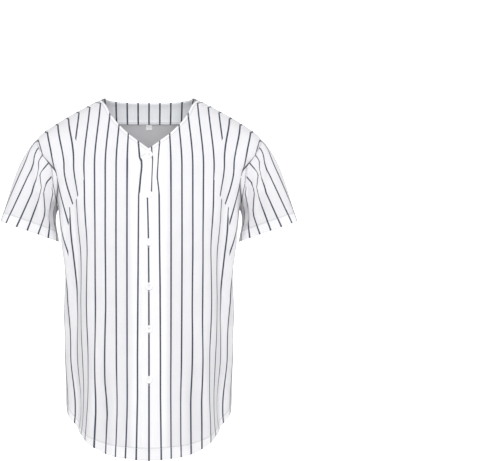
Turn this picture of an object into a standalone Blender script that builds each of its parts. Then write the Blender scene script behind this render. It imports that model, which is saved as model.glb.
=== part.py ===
"""Baseball jersey with a button front, filled out as if worn and open at the neck, cuffs and hem.

The origin is the middle of the neck, level with the high shoulder points, where the wearer's
shoulders carry it. The wearer faces -Y, the wearer's left is +X, and +Z is up. Every panel is a
thin wall whose outer face lies on one smooth body form, cut by the panel's own outline.
"""

import math

import bmesh
import bpy
import numpy as np

# Driving dimensions, in metres
WALL = 0.0016                # double knit with its inside, as thick as a solid wall may be thin
SEAM_GAP = 0.0003            # clear space between two pieces that are sewn or laid together
HEM_HEIGHT = -0.7495         # front and back hem at the centre
SIDE_NOTCH_HEIGHT = -0.612   # where the shirt-tail hems meet at the side seam
UNDERARM_HEIGHT = -0.232
UNDERARM_BEND = (0.30, 0.014)        # how far in, and how far above it, the armhole turns
PLACKET_REACH = 0.016        # how far each front runs past the centre line
PLACKET_FLAT = 0.020         # the upper front lies fully on the lower one out to here
PLACKET_FADE = 0.050         # where the upper front has come down onto the body form
FRONT_SHARE = 0.521          # part of the half girth that the front panel takes
NECK_BACK_HEIGHT = -0.0015
SHOULDER_END_HEIGHT = -0.0850        # where the shoulder ridge meets the sleeve
SHOULDER_LEVELS_END = -0.12          # the form's levels lie closer together above this height
BUTTON_HEIGHTS = (-0.130, -0.212, -0.309, -0.399, -0.486, -0.589)
BUTTON_RADIUS = 0.0075
BUTTON_THICK = 0.0026
BUTTON_EDGE = 0.0007         # bevel of the rim
BUTTON_CLEAR = 0.0004        # above the upper front
FACING_HEIGHT = -0.0460      # straight lower edge of the back neck facing
FACING_COLUMNS = 11          # columns of the back panel, from its centre, that the facing spans
FACING_ROWS = 2              # and the rows above the one that its lower edge cuts
FACING_CLEAR = 0.0008        # its loose hang inside the back panel
INSIDE_WALL = 0.0011         # the facing and the label are thinner
MITRE_LIMIT = 0.6            # keeps the wall from growing thick where a seam turns sharply
SEAM_SHARE = 0.55            # part of the seam gap that each of its two sides gives way
LABEL_SIZE = (0.0135, 0.0105)
LABEL_TOP = -0.0475
CUFF_OUTER = (0.3150, -0.2620)   # outer and inner corner of the sleeve hem, from the front
CUFF_INNER = (0.1915, -0.3050)
CUFF_HALF_DEPTH = 0.044
CUFF_ROUNDNESS = 2.5
SLEEVE_CAP_RISE = 0.55       # how far the top of the sleeve carries on outwards past its seam
SLEEVE_CAP_EASE = 0.35       # and how much of that is left off at the very top
SLEEVE_CAP_DROP = 0.25
SLEEVE_START_SPREAD = 0.30   # how far the underside leaves the body, and comes back at the cuff
SLEEVE_CUFF_TURN = 0.40

# The body form, level by level: half width, then how far forward the front and how far back
# the back lie at the centre, the stretch of side between them, and the depth of the soft fold
# that takes up the spare cloth there, and how square the outline is (2 is an ellipse)
LEVEL_COLUMNS = ("height", "half_width", "front", "back", "side_from", "side_to", "side_fold",
                 "roundness")
LEVELS = (
    (0.000, 0.0920, -0.046, 0.065, 0.000, 0.000, 0.000, 2.35),
    (-0.009, 0.1130, -0.052, 0.071, 0.000, 0.000, 0.000, 2.35),
    (-0.029, 0.1515, -0.062, 0.080, 0.000, 0.000, 0.000, 2.35),
    (-0.054, 0.1945, -0.072, 0.088, 0.000, 0.000, 0.000, 2.35),
    (-0.085, 0.2360, -0.083, 0.095, 0.000, 0.000, 0.000, 2.35),
    (-0.116, 0.2440, -0.092, 0.100, 0.000, 0.000, 0.000, 2.33),
    (-0.150, 0.2310, -0.101, 0.103, -0.005, 0.006, 0.000, 2.28),
    (-0.190, 0.2070, -0.108, 0.104, -0.012, 0.014, 0.000, 2.22),
    (-0.235, 0.1915, -0.113, 0.103, -0.022, 0.024, 0.003, 2.24),
    (-0.270, 0.1880, -0.115, 0.102, -0.028, 0.030, 0.022, 2.26),
    (-0.306, 0.1848, -0.116, 0.100, -0.032, 0.034, 0.038, 2.24),
    (-0.370, 0.1815, -0.115, 0.098, -0.030, 0.034, 0.042, 2.14),
    (-0.440, 0.1840, -0.113, 0.099, -0.022, 0.030, 0.036, 1.96),
    (-0.500, 0.1815, -0.114, 0.104, -0.012, 0.026, 0.030, 1.82),
    (-0.560, 0.1790, -0.119, 0.112, -0.002, 0.022, 0.021, 1.80),
    (-0.620, 0.1775, -0.127, 0.123, 0.004, 0.018, 0.010, 1.84),
    (-0.680, 0.1770, -0.136, 0.136, 0.006, 0.014, 0.002, 1.96),
    (-0.760, 0.1765, -0.146, 0.150, 0.006, 0.012, 0.000, 2.15),
)

# Drape folds that run down the body: where along the half girth, from the centre, at their top
# and bottom end, the heights of those ends, half width, and depth (negative stands out)
FOLD_COLUMNS = ("side", "top_along", "foot_along", "top", "foot", "half_width", "depth")
FOLDS = (
    ("front", 0.162, 0.194, -0.135, -0.540, 0.016, 0.0130),
    ("front", 0.138, 0.188, -0.215, -0.560, 0.029, 0.0165),
    ("front", 0.180, 0.180, -0.420, -0.770, 0.030, 0.0100),
    ("front", 0.098, 0.130, -0.430, -0.790, 0.022, -0.0110),
    ("front", 0.079, 0.077, -0.540, -0.840, 0.013, 0.0065),
    ("back", 0.150, 0.196, -0.120, -0.330, 0.013, 0.013),
    ("back", 0.176, 0.166, -0.230, -0.520, 0.016, 0.007),
    ("back", 0.122, 0.134, -0.480, -0.840, 0.022, 0.012),
    ("back", 0.200, 0.196, -0.500, -0.840, 0.020, 0.011),
)

# Outlines seen from the front: half width and height
NECKLINE = ((0.0, -0.1165), (0.0225, -0.1000), (0.0445, -0.0825), (0.0655, -0.0610),
            (0.0820, -0.0385), (0.0895, -0.0220))
FRONT_ARMHOLE = ((0.2340, -0.1040), (0.2245, -0.1225), (0.2085, -0.1440),
                 (0.1945, -0.1640), (0.1895, -0.1890))
BACK_ARMHOLE = ((0.2360, -0.1020), (0.2290, -0.1220), (0.2120, -0.1470),
                (0.1960, -0.1700), (0.1920, -0.1920))

# The shoulder seam, by height: how far it lies in front of the shoulder ridge
SHOULDER_SEAM = ((-0.0135, 0.0500), (-0.0180, 0.0420), (-0.0215, 0.0315), (-0.0310, 0.0235),
                 (-0.0437, 0.0180), (-0.0560, 0.0130), (-0.0700, 0.0090), (-0.0850, 0.0060))

# Height of the shirt-tail hem above its lowest line, by share of the way to the side seam
FRONT_HEM = ((0.0, 0.0), (0.10, 0.0014), (0.20, 0.0040), (0.30, 0.0062), (0.40, 0.0147),
             (0.50, 0.0273), (0.60, 0.0397), (0.70, 0.0500), (0.80, 0.0659), (0.90, 0.0860),
             (1.0, 0.1375))
BACK_HEM = ((0.0, 0.0), (0.16, 0.0020), (0.33, 0.0120), (0.49, 0.0300), (0.66, 0.0590),
            (0.82, 0.0930), (0.92, 0.1180), (1.0, 0.1375))

# Mesh steps along each stretch of outline
NECK_STEPS = 9
SHOULDER_STEPS = 16
YOKE_STEPS = 2
ARMHOLE_STEPS = 12
SIDE_STEPS = 14
SLEEVE_STEPS = 10
ROWS_BY_SEAM = 0.45          # how far the rows follow the armhole's length instead of its height
FOLD_ENDS = 0.35             # share of a fold's length over which it fades in, and out again

WHITE_CLOTH = (0.86, 0.87, 0.91, 1.0)
INSIDE_CLOTH = (0.78, 0.79, 0.83, 1.0)
BUTTON_WHITE = (0.90, 0.90, 0.92, 1.0)
LABEL_WHITE = (0.93, 0.93, 0.94, 1.0)


def smooth_table(rows, places):
    """Read a table of (place, value, ...) rows at any places, on a smooth curve through them."""
    table = np.array(rows, float)
    table = table[np.argsort(table[:, 0])]
    known = table[:, 0]
    values = table[:, 1:]
    slopes = np.gradient(values, known, axis=0)
    places = np.clip(np.asarray(places, float), known[0], known[-1])
    left = np.clip(np.searchsorted(known, places, side="right") - 1, 0, len(known) - 2)
    gap = (known[left + 1] - known[left])[..., None]
    t = (places[..., None] - known[left][..., None]) / gap
    from_left = (1 + 2 * t) * (1 - t) ** 2 * values[left] + t * (1 - t) ** 2 * gap * slopes[left]
    from_right = t * t * (3 - 2 * t) * values[left + 1] - t * t * (1 - t) * gap * slopes[left + 1]
    return from_left + from_right


def ease(t):
    """0 to 1 with level ends."""
    t = np.clip(t, 0.0, 1.0)
    return t * t * (3 - 2 * t)


def spaced(points, count):
    """count + 1 points at equal steps along a smooth curve through the given points."""
    points = np.array(points, float)
    steps = np.linalg.norm(np.diff(points, axis=0), axis=1)
    along = np.concatenate([[0.0], np.cumsum(steps)]) / steps.sum()
    fine = np.linspace(0.0, 1.0, 400)
    curve = smooth_table(np.column_stack([along, points]), fine)
    walked = np.concatenate([[0.0], np.cumsum(np.linalg.norm(np.diff(curve, axis=0), axis=1))])
    wanted = np.linspace(0.0, walked[-1], count + 1)
    return np.column_stack([np.interp(wanted, walked, curve[:, k]) for k in range(points.shape[1])])


def level_curve(height):
    """Half of the body's outline at one height, from centre front round the side to centre back."""
    half_width, front, back, side_from, side_to, side_fold, roundness = smooth_table(LEVELS, [height])[0]
    turn = np.linspace(0.0, math.pi / 2, 160)
    bulge = 2.0 / roundness
    across = half_width * np.sin(turn) ** bulge
    front_y = side_from - (side_from - front) * np.cos(turn) ** bulge
    back_y = side_to + (back - side_to) * np.cos(turn) ** bulge
    t = np.linspace(0.0, 1.0, 60)[1:-1]
    side_x = half_width - side_fold * np.sin(math.pi * t) ** 2
    side_y = side_from + (side_to - side_from) * t
    x = np.concatenate([across, side_x, across[::-1]])
    y = np.concatenate([front_y, side_y, back_y[::-1]])
    return np.column_stack([x, y])


def walked_length(curve):
    return np.concatenate([[0.0], np.cumsum(np.linalg.norm(np.diff(curve, axis=0), axis=1))])


def folded(curve, height):
    """The level curve with its drape folds pushed in or out along the outward direction."""
    walked = walked_length(curve)
    direction = np.gradient(curve, axis=0)
    direction /= np.linalg.norm(direction, axis=1)[:, None] + 1e-12
    outward = np.column_stack([direction[:, 1], -direction[:, 0]])
    push = np.zeros(len(curve))
    for side, top_along, foot_along, top, foot, half_width, depth in FOLDS:
        down = (top - height) / (top - foot)
        if not 0.0 < down < 1.0:
            continue
        fade = ease(down / FOLD_ENDS) * ease((1.0 - down) / FOLD_ENDS)
        centre = top_along + (foot_along - top_along) * down
        along = walked if side == "front" else walked[-1] - walked
        push -= depth * fade * np.exp(-((along - centre) / half_width) ** 2)
    return curve + outward * push[:, None]


class BodyForm:
    """The outside of the jersey's body, read by girth from the centre line and by height."""

    def __init__(self):
        upper = SHOULDER_LEVELS_END * np.linspace(0.0, 1.0, 60) ** 1.6
        lower = np.linspace(SHOULDER_LEVELS_END, HEM_HEIGHT - 0.015, 120)
        self.heights = np.concatenate([upper, lower[1:]])
        self.samples = 420
        self.curves = []
        self.girths = []
        for height in self.heights:
            curve = folded(level_curve(height), height)
            walked = walked_length(curve)
            even = np.linspace(0.0, walked[-1], self.samples)
            self.curves.append(np.column_stack([np.interp(even, walked, curve[:, k]) for k in (0, 1)]))
            self.girths.append(walked[-1])
        self.curves = np.array(self.curves)
        self.girths = np.array(self.girths)

    def girth(self, height):
        return np.interp(-np.asarray(height, float), -self.heights, self.girths)

    def level(self, height):
        """The two stored levels beside a height, and how far it lies between them."""
        upper = np.clip(np.searchsorted(-self.heights, -height, side="right") - 1,
                        0, len(self.heights) - 2)
        t = (self.heights[upper] - height) / (self.heights[upper] - self.heights[upper + 1])
        return upper, np.clip(t, 0.0, 1.0)

    def point(self, along, height, from_back=False):
        """A point of the form; a negative girth is across the centre line."""
        upper, t = self.level(height)
        share = np.clip(abs(along) / float(self.girth(height)), 0.0, 1.0)
        if from_back:
            share = 1.0 - share
        spot = share * (self.samples - 1)
        index = min(int(spot), self.samples - 2)
        part = spot - index
        place = [self.curves[row, index] * (1 - part) + self.curves[row, index + 1] * part
                 for row in (upper, upper + 1)]
        x, y = place[0] * (1 - t) + place[1] * t
        return np.array([math.copysign(x, along), y, height])

    def girth_at_width(self, width, height, from_back=False):
        """How far round from the centre line the form first reaches a half width."""
        upper, t = self.level(height)
        curve = self.curves[upper] * (1 - t) + self.curves[upper + 1] * t
        if from_back:
            curve = curve[::-1]
        steps = np.linspace(0.0, float(self.girth(height)), self.samples)
        widest = int(np.argmax(curve[:, 0]))
        return float(np.interp(width, curve[:widest + 1, 0], steps[:widest + 1]))


BODY = BodyForm()


def side_seam_at(height, from_back=False):
    share = 1.0 - FRONT_SHARE if from_back else FRONT_SHARE
    return float(BODY.girth(height)) * share


def on_front(outline):
    """Turn (half width, height) points of the front view into (girth, height) points."""
    return [(BODY.girth_at_width(width, height), height) for width, height in outline]


def on_back(outline):
    return [(BODY.girth_at_width(width, height, True), height) for width, height in outline]


def ridge_girth(height, from_back=False):
    """Girth from the centre line to the widest place of a level."""
    return BODY.girth_at_width(1.0, height, from_back)


def even_stations(heights, girths, steps, from_back=False):
    """steps + 1 places on the form, evenly spaced along the line through the given ones."""
    in_space = np.array([BODY.point(along, height, from_back)
                         for along, height in zip(girths, heights)])
    walked = walked_length(in_space)
    wanted = np.linspace(0.0, walked[-1], steps + 1)
    return list(zip(np.interp(wanted, walked, girths), np.interp(wanted, walked, heights)))


def shoulder_seam_stations():
    """The shoulder seam, by girth from the centre front and height, from the neck outwards."""
    heights = np.linspace(SHOULDER_SEAM[0][0], SHOULDER_END_HEIGHT, 200)
    forward = smooth_table(SHOULDER_SEAM, heights)[:, 0]
    girths = np.array([ridge_girth(height) for height in heights]) - forward
    return even_stations(heights, girths, SHOULDER_STEPS)


def shoulder_ridge_stations():
    """The ridge of the shoulder from the high shoulder point out to the sleeve."""
    heights = SHOULDER_END_HEIGHT * np.linspace(0.0, 1.0, 200) ** 1.4
    girths = np.array([ridge_girth(height, True) for height in heights])
    return even_stations(heights, girths, SHOULDER_STEPS, True)


def armhole_stations(outline, start, from_back=False):
    """Evenly spaced points from the shoulder down to the underarm."""
    turned = on_back(outline) if from_back else on_front(outline)
    seam = side_seam_at(UNDERARM_HEIGHT, from_back)
    low = turned[-1]
    inwards, above = UNDERARM_BEND
    bend = (low[0] + inwards * (seam - low[0]), UNDERARM_HEIGHT + above)
    plan = [start] + turned + [bend, (seam, UNDERARM_HEIGHT)]
    return spaced(plan, ARMHOLE_STEPS)


def side_stations(from_back=False):
    heights = np.linspace(UNDERARM_HEIGHT, SIDE_NOTCH_HEIGHT, SIDE_STEPS + 1)
    return [(side_seam_at(height, from_back), height) for height in heights]


def filled(top, bottom, left, right):
    """A grid of (girth, height) points blended from its four borders, row by row downwards."""
    top, bottom, left, right = (np.array(side, float) for side in (top, bottom, left, right))

    def share_along(side):
        walked = walked_length(side)
        return walked / walked[-1]

    across_top, across_bottom = share_along(top), share_along(bottom)
    down_left, down_right = share_along(left), share_along(right)
    rows = []
    for j in range(len(left)):
        row = []
        for i in range(len(top)):
            t = i / (len(top) - 1)
            s = down_left[j] * (1 - t) + down_right[j] * t
            u = across_top[i] * (1 - s) + across_bottom[i] * s
            blend = (left[j] * (1 - u) + right[j] * u + top[i] * (1 - s) + bottom[i] * s
                     - top[0] * (1 - u) * (1 - s) - top[-1] * u * (1 - s)
                     - bottom[0] * (1 - u) * s - bottom[-1] * u * s)
            row.append(blend)
        rows.append(row)
    return np.array(rows)


def levels_across(right, top_height):
    """Heights at the centre line that keep the rows of a panel evenly spread."""
    right = np.array(right)
    by_height = (right[:, 1] - right[0, 1]) / (right[-1, 1] - right[0, 1])
    walked = walked_length(right)
    down = (1.0 - ROWS_BY_SEAM) * by_height + ROWS_BY_SEAM * walked / walked[-1]
    return top_height + down * (HEM_HEIGHT - top_height)


def hem_line(top, first, girth, shape):
    """The shirt-tail hem from the centre to the side seam, in step with the panel's top border."""
    walked = walked_length(np.array(top))
    along = first + walked / walked[-1] * (girth - first)
    rise = smooth_table(shape, np.abs(along) / girth)[:, 0]
    return np.column_stack([along, HEM_HEIGHT + rise])


def front_cut():
    """The flat plan of one front: rows from neckline and shoulder down to the hem."""
    tip = NECKLINE[0]
    slope = (NECKLINE[0][1] - NECKLINE[1][1]) / NECKLINE[1][0]
    overlap_top = (-PLACKET_REACH, tip[1] + slope * PLACKET_REACH)
    seam = shoulder_seam_stations()
    neck = spaced(on_front(NECKLINE) + [seam[0]], NECK_STEPS)
    top = [overlap_top] + list(neck[:-1]) + seam
    right = list(armhole_stations(FRONT_ARMHOLE, seam[-1])) + side_stations()[1:]
    bottom = hem_line(top, -PLACKET_REACH, side_seam_at(SIDE_NOTCH_HEIGHT), FRONT_HEM)
    heights = levels_across(right, overlap_top[1])
    left = np.column_stack([np.full(len(heights), -PLACKET_REACH), heights])
    return filled(top, bottom, left, right)


def back_cut():
    """The flat plan of half the back: rows from the neckline and the shoulder ridge down."""
    ridge = shoulder_ridge_stations()
    neck = spaced([(0.0, NECK_BACK_HEIGHT), (0.5 * ridge[0][0], NECK_BACK_HEIGHT * 0.8), ridge[0]],
                  NECK_STEPS - 1)
    top = list(neck[:-1]) + ridge
    right = (list(armhole_stations(BACK_ARMHOLE, ridge[-1], True)) + side_stations(True)[1:])
    bottom = hem_line(top, 0.0, side_seam_at(SIDE_NOTCH_HEIGHT, True), BACK_HEM)
    heights = levels_across(right, NECK_BACK_HEIGHT)
    left = np.column_stack([np.zeros(len(heights)), heights])
    return filled(top, bottom, left, right)


def yoke_cut():
    """The strip of the back that comes over the shoulder ridge, down to the shoulder seam."""
    ridge = np.array(shoulder_ridge_stations())
    seam = np.array([(float(BODY.girth(z)) - along, z) for along, z in shoulder_seam_stations()])
    return np.array([ridge + (seam - ridge) * k / YOKE_STEPS for k in range(YOKE_STEPS + 1)])


def on_front_form(cut):
    return np.array([[BODY.point(along, height) for along, height in row] for row in cut])


def on_back_form(cut):
    return np.array([[BODY.point(along, height, True) for along, height in row] for row in cut])


def across_back(half):
    """Both halves of the back from the grid of its left half."""
    other = half * np.array([-1.0, 1.0, 1.0])
    return np.concatenate([half[:, :0:-1], other], axis=1)


def cuff_line(side, shares):
    """Points of the sleeve hem, a flat oval, from its outer corner round one side."""
    outer = np.array([CUFF_OUTER[0], 0.0, CUFF_OUTER[1]])
    inner = np.array([CUFF_INNER[0], 0.0, CUFF_INNER[1]])
    turn = np.linspace(0.0, math.pi, 300)
    flat = 2.0 / CUFF_ROUNDNESS
    along = -np.sign(np.cos(turn)) * np.abs(np.cos(turn)) ** flat
    depth = side * CUFF_HALF_DEPTH * np.sin(turn) ** flat
    line = (outer + inner) / 2 + along[:, None] * (inner - outer) / 2
    line[:, 1] = depth
    walked = walked_length(line)
    return np.column_stack([np.interp(np.array(shares) * walked[-1], walked, line[:, k])
                            for k in range(3)])


def sleeve_grid(front_seam, back_seam):
    """Rows from the armhole seam to the cuff; columns run round it, starting at the top."""
    front_side = np.concatenate([back_seam[:1], front_seam])
    front_share = walked_length(front_side) / walked_length(front_side)[-1]
    back_share = (walked_length(back_seam) / walked_length(back_seam)[-1])[-2:0:-1]
    loop = np.concatenate([front_side, back_seam[-2:0:-1]])
    cuff = np.concatenate([cuff_line(-1.0, front_share), cuff_line(1.0, back_share)])
    middle = loop.mean(axis=0)
    axis = np.array([CUFF_OUTER[1] - CUFF_INNER[1], 0.0, CUFF_INNER[0] - CUFF_OUTER[0]])
    axis = axis / np.linalg.norm(axis)
    seam_line = np.roll(loop, -1, axis=0) - np.roll(loop, 1, axis=0)
    seam_line /= np.linalg.norm(seam_line, axis=1)[:, None]
    away = loop - middle
    across = away - seam_line * (away * seam_line).sum(axis=1)[:, None]
    across /= np.linalg.norm(across, axis=1)[:, None]
    turn = math.pi * np.concatenate([front_share, back_share])
    spread = (0.5 + 0.5 * np.cos(turn))[:, None]
    outwards = np.array([1.0, 0.0, 0.0])
    start = across * SLEEVE_CAP_RISE * spread * (1 - SLEEVE_CAP_EASE * spread)
    start += axis * (1 - SLEEVE_CAP_DROP * spread)
    start += outwards * SLEEVE_START_SPREAD * (1 - spread)
    start /= np.linalg.norm(start, axis=1)[:, None]
    finish = axis - outwards * SLEEVE_CUFF_TURN * (1 - spread)
    finish /= np.linalg.norm(finish, axis=1)[:, None]
    reach = np.linalg.norm(cuff - loop, axis=1)[:, None]
    rows = []
    for t in np.linspace(0.0, 1.0, SLEEVE_STEPS + 1):
        rows.append((1 + 2 * t) * (1 - t) ** 2 * loop + t * (1 - t) ** 2 * reach * start
                    + t * t * (3 - 2 * t) * cuff - t * t * (1 - t) * reach * finish)
    return np.array(rows)


def material(name, colour, roughness):
    """A plain finish for one kind of piece."""
    made = bpy.data.materials.new(name)
    made.use_nodes = True
    shader = made.node_tree.nodes["Principled BSDF"]
    shader.inputs["Base Color"].default_value = colour
    shader.inputs["Roughness"].default_value = roughness
    shader.inputs["Metallic"].default_value = 0.0
    return made


def point_key(point):
    return tuple(np.round(point * 1e5).astype(int).tolist())


class Cloth:
    """One piece of cloth as an open surface, made of grids that share their common borders."""

    def __init__(self, name, grids, around=False):
        self.name = name
        self.points = []
        self.faces = []
        known = {}
        for grid in grids:
            rows, columns = grid.shape[:2]
            index = np.empty((rows, columns), int)
            for j in range(rows):
                for i in range(columns):
                    key = point_key(grid[j, i])
                    if key not in known:
                        known[key] = len(self.points)
                        self.points.append(grid[j, i])
                    index[j, i] = known[key]
            for j in range(rows - 1):
                for i in range(columns if around else columns - 1):
                    k = (i + 1) % columns
                    self.faces.append((index[j, i], index[j + 1, i], index[j + 1, k], index[j, k]))
        self.points = np.array(self.points)
        self.faces = [self.split_short(face) for face in self.faces]
        self.normals = self.corner_normals()
        self.edges = self.border()

    def split_short(self, face):
        """The face's corners in an order that starts on its shorter diagonal."""
        a, b, c, d = self.points[list(face)]
        if np.linalg.norm(c - a) <= np.linalg.norm(d - b):
            return face
        return face[1:] + face[:1]

    def corner_normals(self):
        normals = np.zeros_like(self.points)
        for face in self.faces:
            a, b, c, d = self.points[list(face)]
            normal = np.cross(c - a, d - b)
            for corner in face:
                normals[corner] += normal
        return normals / (np.linalg.norm(normals, axis=1)[:, None] + 1e-15)

    def border(self):
        """Every open edge, with the middle of the face beside it."""
        beside = {}
        for face in self.faces:
            middle = self.points[list(face)].mean(axis=0)
            for a, b in zip(face, face[1:] + face[:1]):
                beside.setdefault((min(a, b), max(a, b)), []).append((a, b, middle))
        return [found[0] for found in beside.values() if len(found) == 1]


def close_cloth(pieces, lifts):
    """Outer and inner points of every piece, held apart where pieces are sewn.

    Where two pieces meet over a ridge their inner faces share a mitre; in a crease each keeps
    its own square edge, since there the walls part by themselves.
    """
    met = {}
    for piece in pieces:
        for a, b, _ in piece.edges:
            for corner in (a, b):
                met.setdefault(point_key(piece.points[corner]), {})[piece.name] = piece.normals[corner]
    walls = {}
    for piece in pieces:
        direction = piece.normals.copy()
        deep = np.full(len(piece.points), WALL)
        into = np.zeros_like(piece.points)
        for a, b, middle in piece.edges:
            for corner in (a, b):
                into[corner] += middle - piece.points[corner]
        sewn = set()
        for corner in {corner for a, b, _ in piece.edges for corner in (a, b)}:
            normals = list(met[point_key(piece.points[corner])].values())
            if len(normals) < 2:
                continue
            sewn.add(corner)
            own = piece.normals[corner]
            others = np.sum(normals, axis=0) - own
            if others @ into[corner] > 0.0:
                continue
            mitre = (own + others) / np.linalg.norm(own + others)
            direction[corner] = mitre
            lean = np.mean([float(mitre @ normal) for normal in normals])
            deep[corner] = WALL / max(lean, MITRE_LIMIT)
        pushes = {}
        for a, b, middle in piece.edges:
            if a not in sewn or b not in sewn:
                continue
            apart = np.cross(piece.points[b] - piece.points[a], direction[a] + direction[b])
            apart /= np.linalg.norm(apart)
            inward = middle - (piece.points[a] + piece.points[b]) / 2
            apart *= math.copysign(1.0, float(apart @ inward))
            for corner in (a, b):
                pushes.setdefault(corner, []).append(apart)
        outer = piece.points + piece.normals * lifts.get(piece.name, 0.0)
        for corner, found in pushes.items():
            first, last = found[0], found[-1]
            apart = (first + last) / (1.0 + max(float(first @ last), 0.0))
            outer[corner] += apart * SEAM_GAP * SEAM_SHARE
        walls[piece.name] = (outer, outer - direction * deep[:, None])
    return walls


def wall_mesh(name, faces, edges, outer, inner):
    """Close the space between the outer and the inner face of a piece of cloth."""
    count = len(outer)
    shell = [tuple(face) for face in faces]
    shell += [tuple(face[k] + count for k in (0, 3, 2, 1)) for face in faces]
    shell += [(b, a, a + count, b + count) for a, b, _ in edges]
    mesh = bpy.data.meshes.new(name)
    mesh.from_pydata([tuple(p) for p in outer] + [tuple(p) for p in inner], [], shell)
    work = bmesh.new()
    work.from_mesh(mesh)
    bmesh.ops.recalc_face_normals(work, faces=work.faces)
    bmesh.ops.triangulate(work, faces=work.faces, quad_method="FIXED")
    work.to_mesh(mesh)
    work.free()
    mesh.update()
    return mesh


def mirrored(grid):
    """The same grid across the body's middle plane, with its columns the other way round."""
    return (grid * np.array([-1.0, 1.0, 1.0]))[:, ::-1]


def placket_lift(cut):
    """How far the upper front stands off the form so that it lies over the lower one."""
    away = (cut[..., 0] - PLACKET_FLAT) / (PLACKET_FADE - PLACKET_FLAT)
    return (WALL + SEAM_GAP) * (1.0 - ease(away))


def facing_grid(back):
    """The back neck facing, on the back panel's own points down to its straight lower edge."""
    part = back[:FACING_ROWS + 2, :FACING_COLUMNS]
    upper, lower = part[FACING_ROWS], part[FACING_ROWS + 1]
    share = (upper[:, 2] - FACING_HEIGHT) / (upper[:, 2] - lower[:, 2])
    edge = upper + (lower - upper) * share[:, None]
    return across_back(np.concatenate([part[:FACING_ROWS + 1], edge[None]]))


def label_grid():
    rows = []
    for height in (LABEL_TOP, LABEL_TOP - LABEL_SIZE[1]):
        rows.append([BODY.point(share * LABEL_SIZE[0] / 2, height, True) for share in (1.0, -1.0)])
    return np.array(rows)


def button(name, height, collection, finish):
    """A flat round button on the upper front, square to the cloth under it."""
    low = BODY.point(1e-9, height - BUTTON_RADIUS)
    high = BODY.point(1e-9, height + BUTTON_RADIUS)
    tilt = math.atan2(high[1] - low[1], high[2] - low[2])
    work = bmesh.new()
    bmesh.ops.create_cone(work, cap_ends=True, segments=20, radius1=BUTTON_RADIUS,
                          radius2=BUTTON_RADIUS, depth=BUTTON_THICK)
    rim = [edge for edge in work.edges if abs(edge.verts[0].co.z - edge.verts[1].co.z) < 1e-6]
    bmesh.ops.bevel(work, geom=rim, offset=BUTTON_EDGE, segments=1, affect="EDGES")
    mesh = bpy.data.meshes.new(name)
    work.to_mesh(mesh)
    work.free()
    made = bpy.data.objects.new(name, mesh)
    made.rotation_euler = (math.pi / 2 - tilt, 0.0, 0.0)
    middle = (low + high) / 2
    reach = WALL + SEAM_GAP + BUTTON_CLEAR + BUTTON_THICK / 2
    made.location = (0.0, middle[1] - reach * math.cos(tilt), middle[2] + reach * math.sin(tilt))
    made.data.materials.append(finish)
    collection.objects.link(made)


def add_wall(name, faces, edges, outer, inner, finish, collection):
    made = bpy.data.objects.new(name, wall_mesh(name, faces, edges, outer, inner))
    made.data.materials.append(finish)
    made.data.shade_smooth()
    made.data.set_sharp_from_angle(angle=math.radians(50))
    collection.objects.link(made)


def add_inside(name, grid, finish, collection):
    """A small piece that lies against the inside of the back, one wall and its clearance in."""
    piece = Cloth(name, [grid])
    outer = piece.points - piece.normals * (WALL + FACING_CLEAR)
    inner = outer - piece.normals * INSIDE_WALL
    add_wall(name, piece.faces, piece.edges, outer, inner, finish, collection)


def build():
    for old in list(bpy.data.objects):
        bpy.data.objects.remove(old, do_unlink=True)
    collection = bpy.data.collections.new("baseball_jersey")
    bpy.context.scene.collection.children.link(collection)

    plan = front_cut()
    front = on_front_form(plan)
    back = on_back_form(back_cut())
    yoke = on_back_form(yoke_cut())
    armhole = slice(0, ARMHOLE_STEPS + 1)
    sleeve = sleeve_grid(front[armhole, -1], back[armhole, -1])
    pieces = [
        Cloth("front_left", [front]),
        Cloth("front_right", [mirrored(front)]),
        Cloth("back", [across_back(back), yoke, mirrored(yoke)]),
        Cloth("sleeve_left", [sleeve[:, ::-1]], around=True),
        Cloth("sleeve_right", [mirrored(sleeve[:, ::-1])], around=True),
    ]
    walls = close_cloth(pieces, {"front_left": placket_lift(plan).reshape(-1, 1)})
    cloth = material("white_cloth", WHITE_CLOTH, 0.75)
    for piece in pieces:
        outer, inner = walls[piece.name]
        add_wall(piece.name, piece.faces, piece.edges, outer, inner, cloth, collection)

    lining = material("facing_cloth", INSIDE_CLOTH, 0.8)
    add_inside("back_neck_facing", facing_grid(back), lining, collection)
    add_inside("size_label", label_grid(), material("label_white", LABEL_WHITE, 0.5), collection)
    plastic = material("button_white", BUTTON_WHITE, 0.3)
    for number, height in enumerate(BUTTON_HEIGHTS, start=1):
        button(f"button_{number}", height, collection, plastic)


build()
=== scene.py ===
"""A white pinstriped baseball jersey, filled out with no wearer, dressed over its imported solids.

The wearer faces -Y, the wearer's left is +X and +Z is up. The origin is the middle of the neck.
Every size is in metres.
"""
import math

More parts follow.
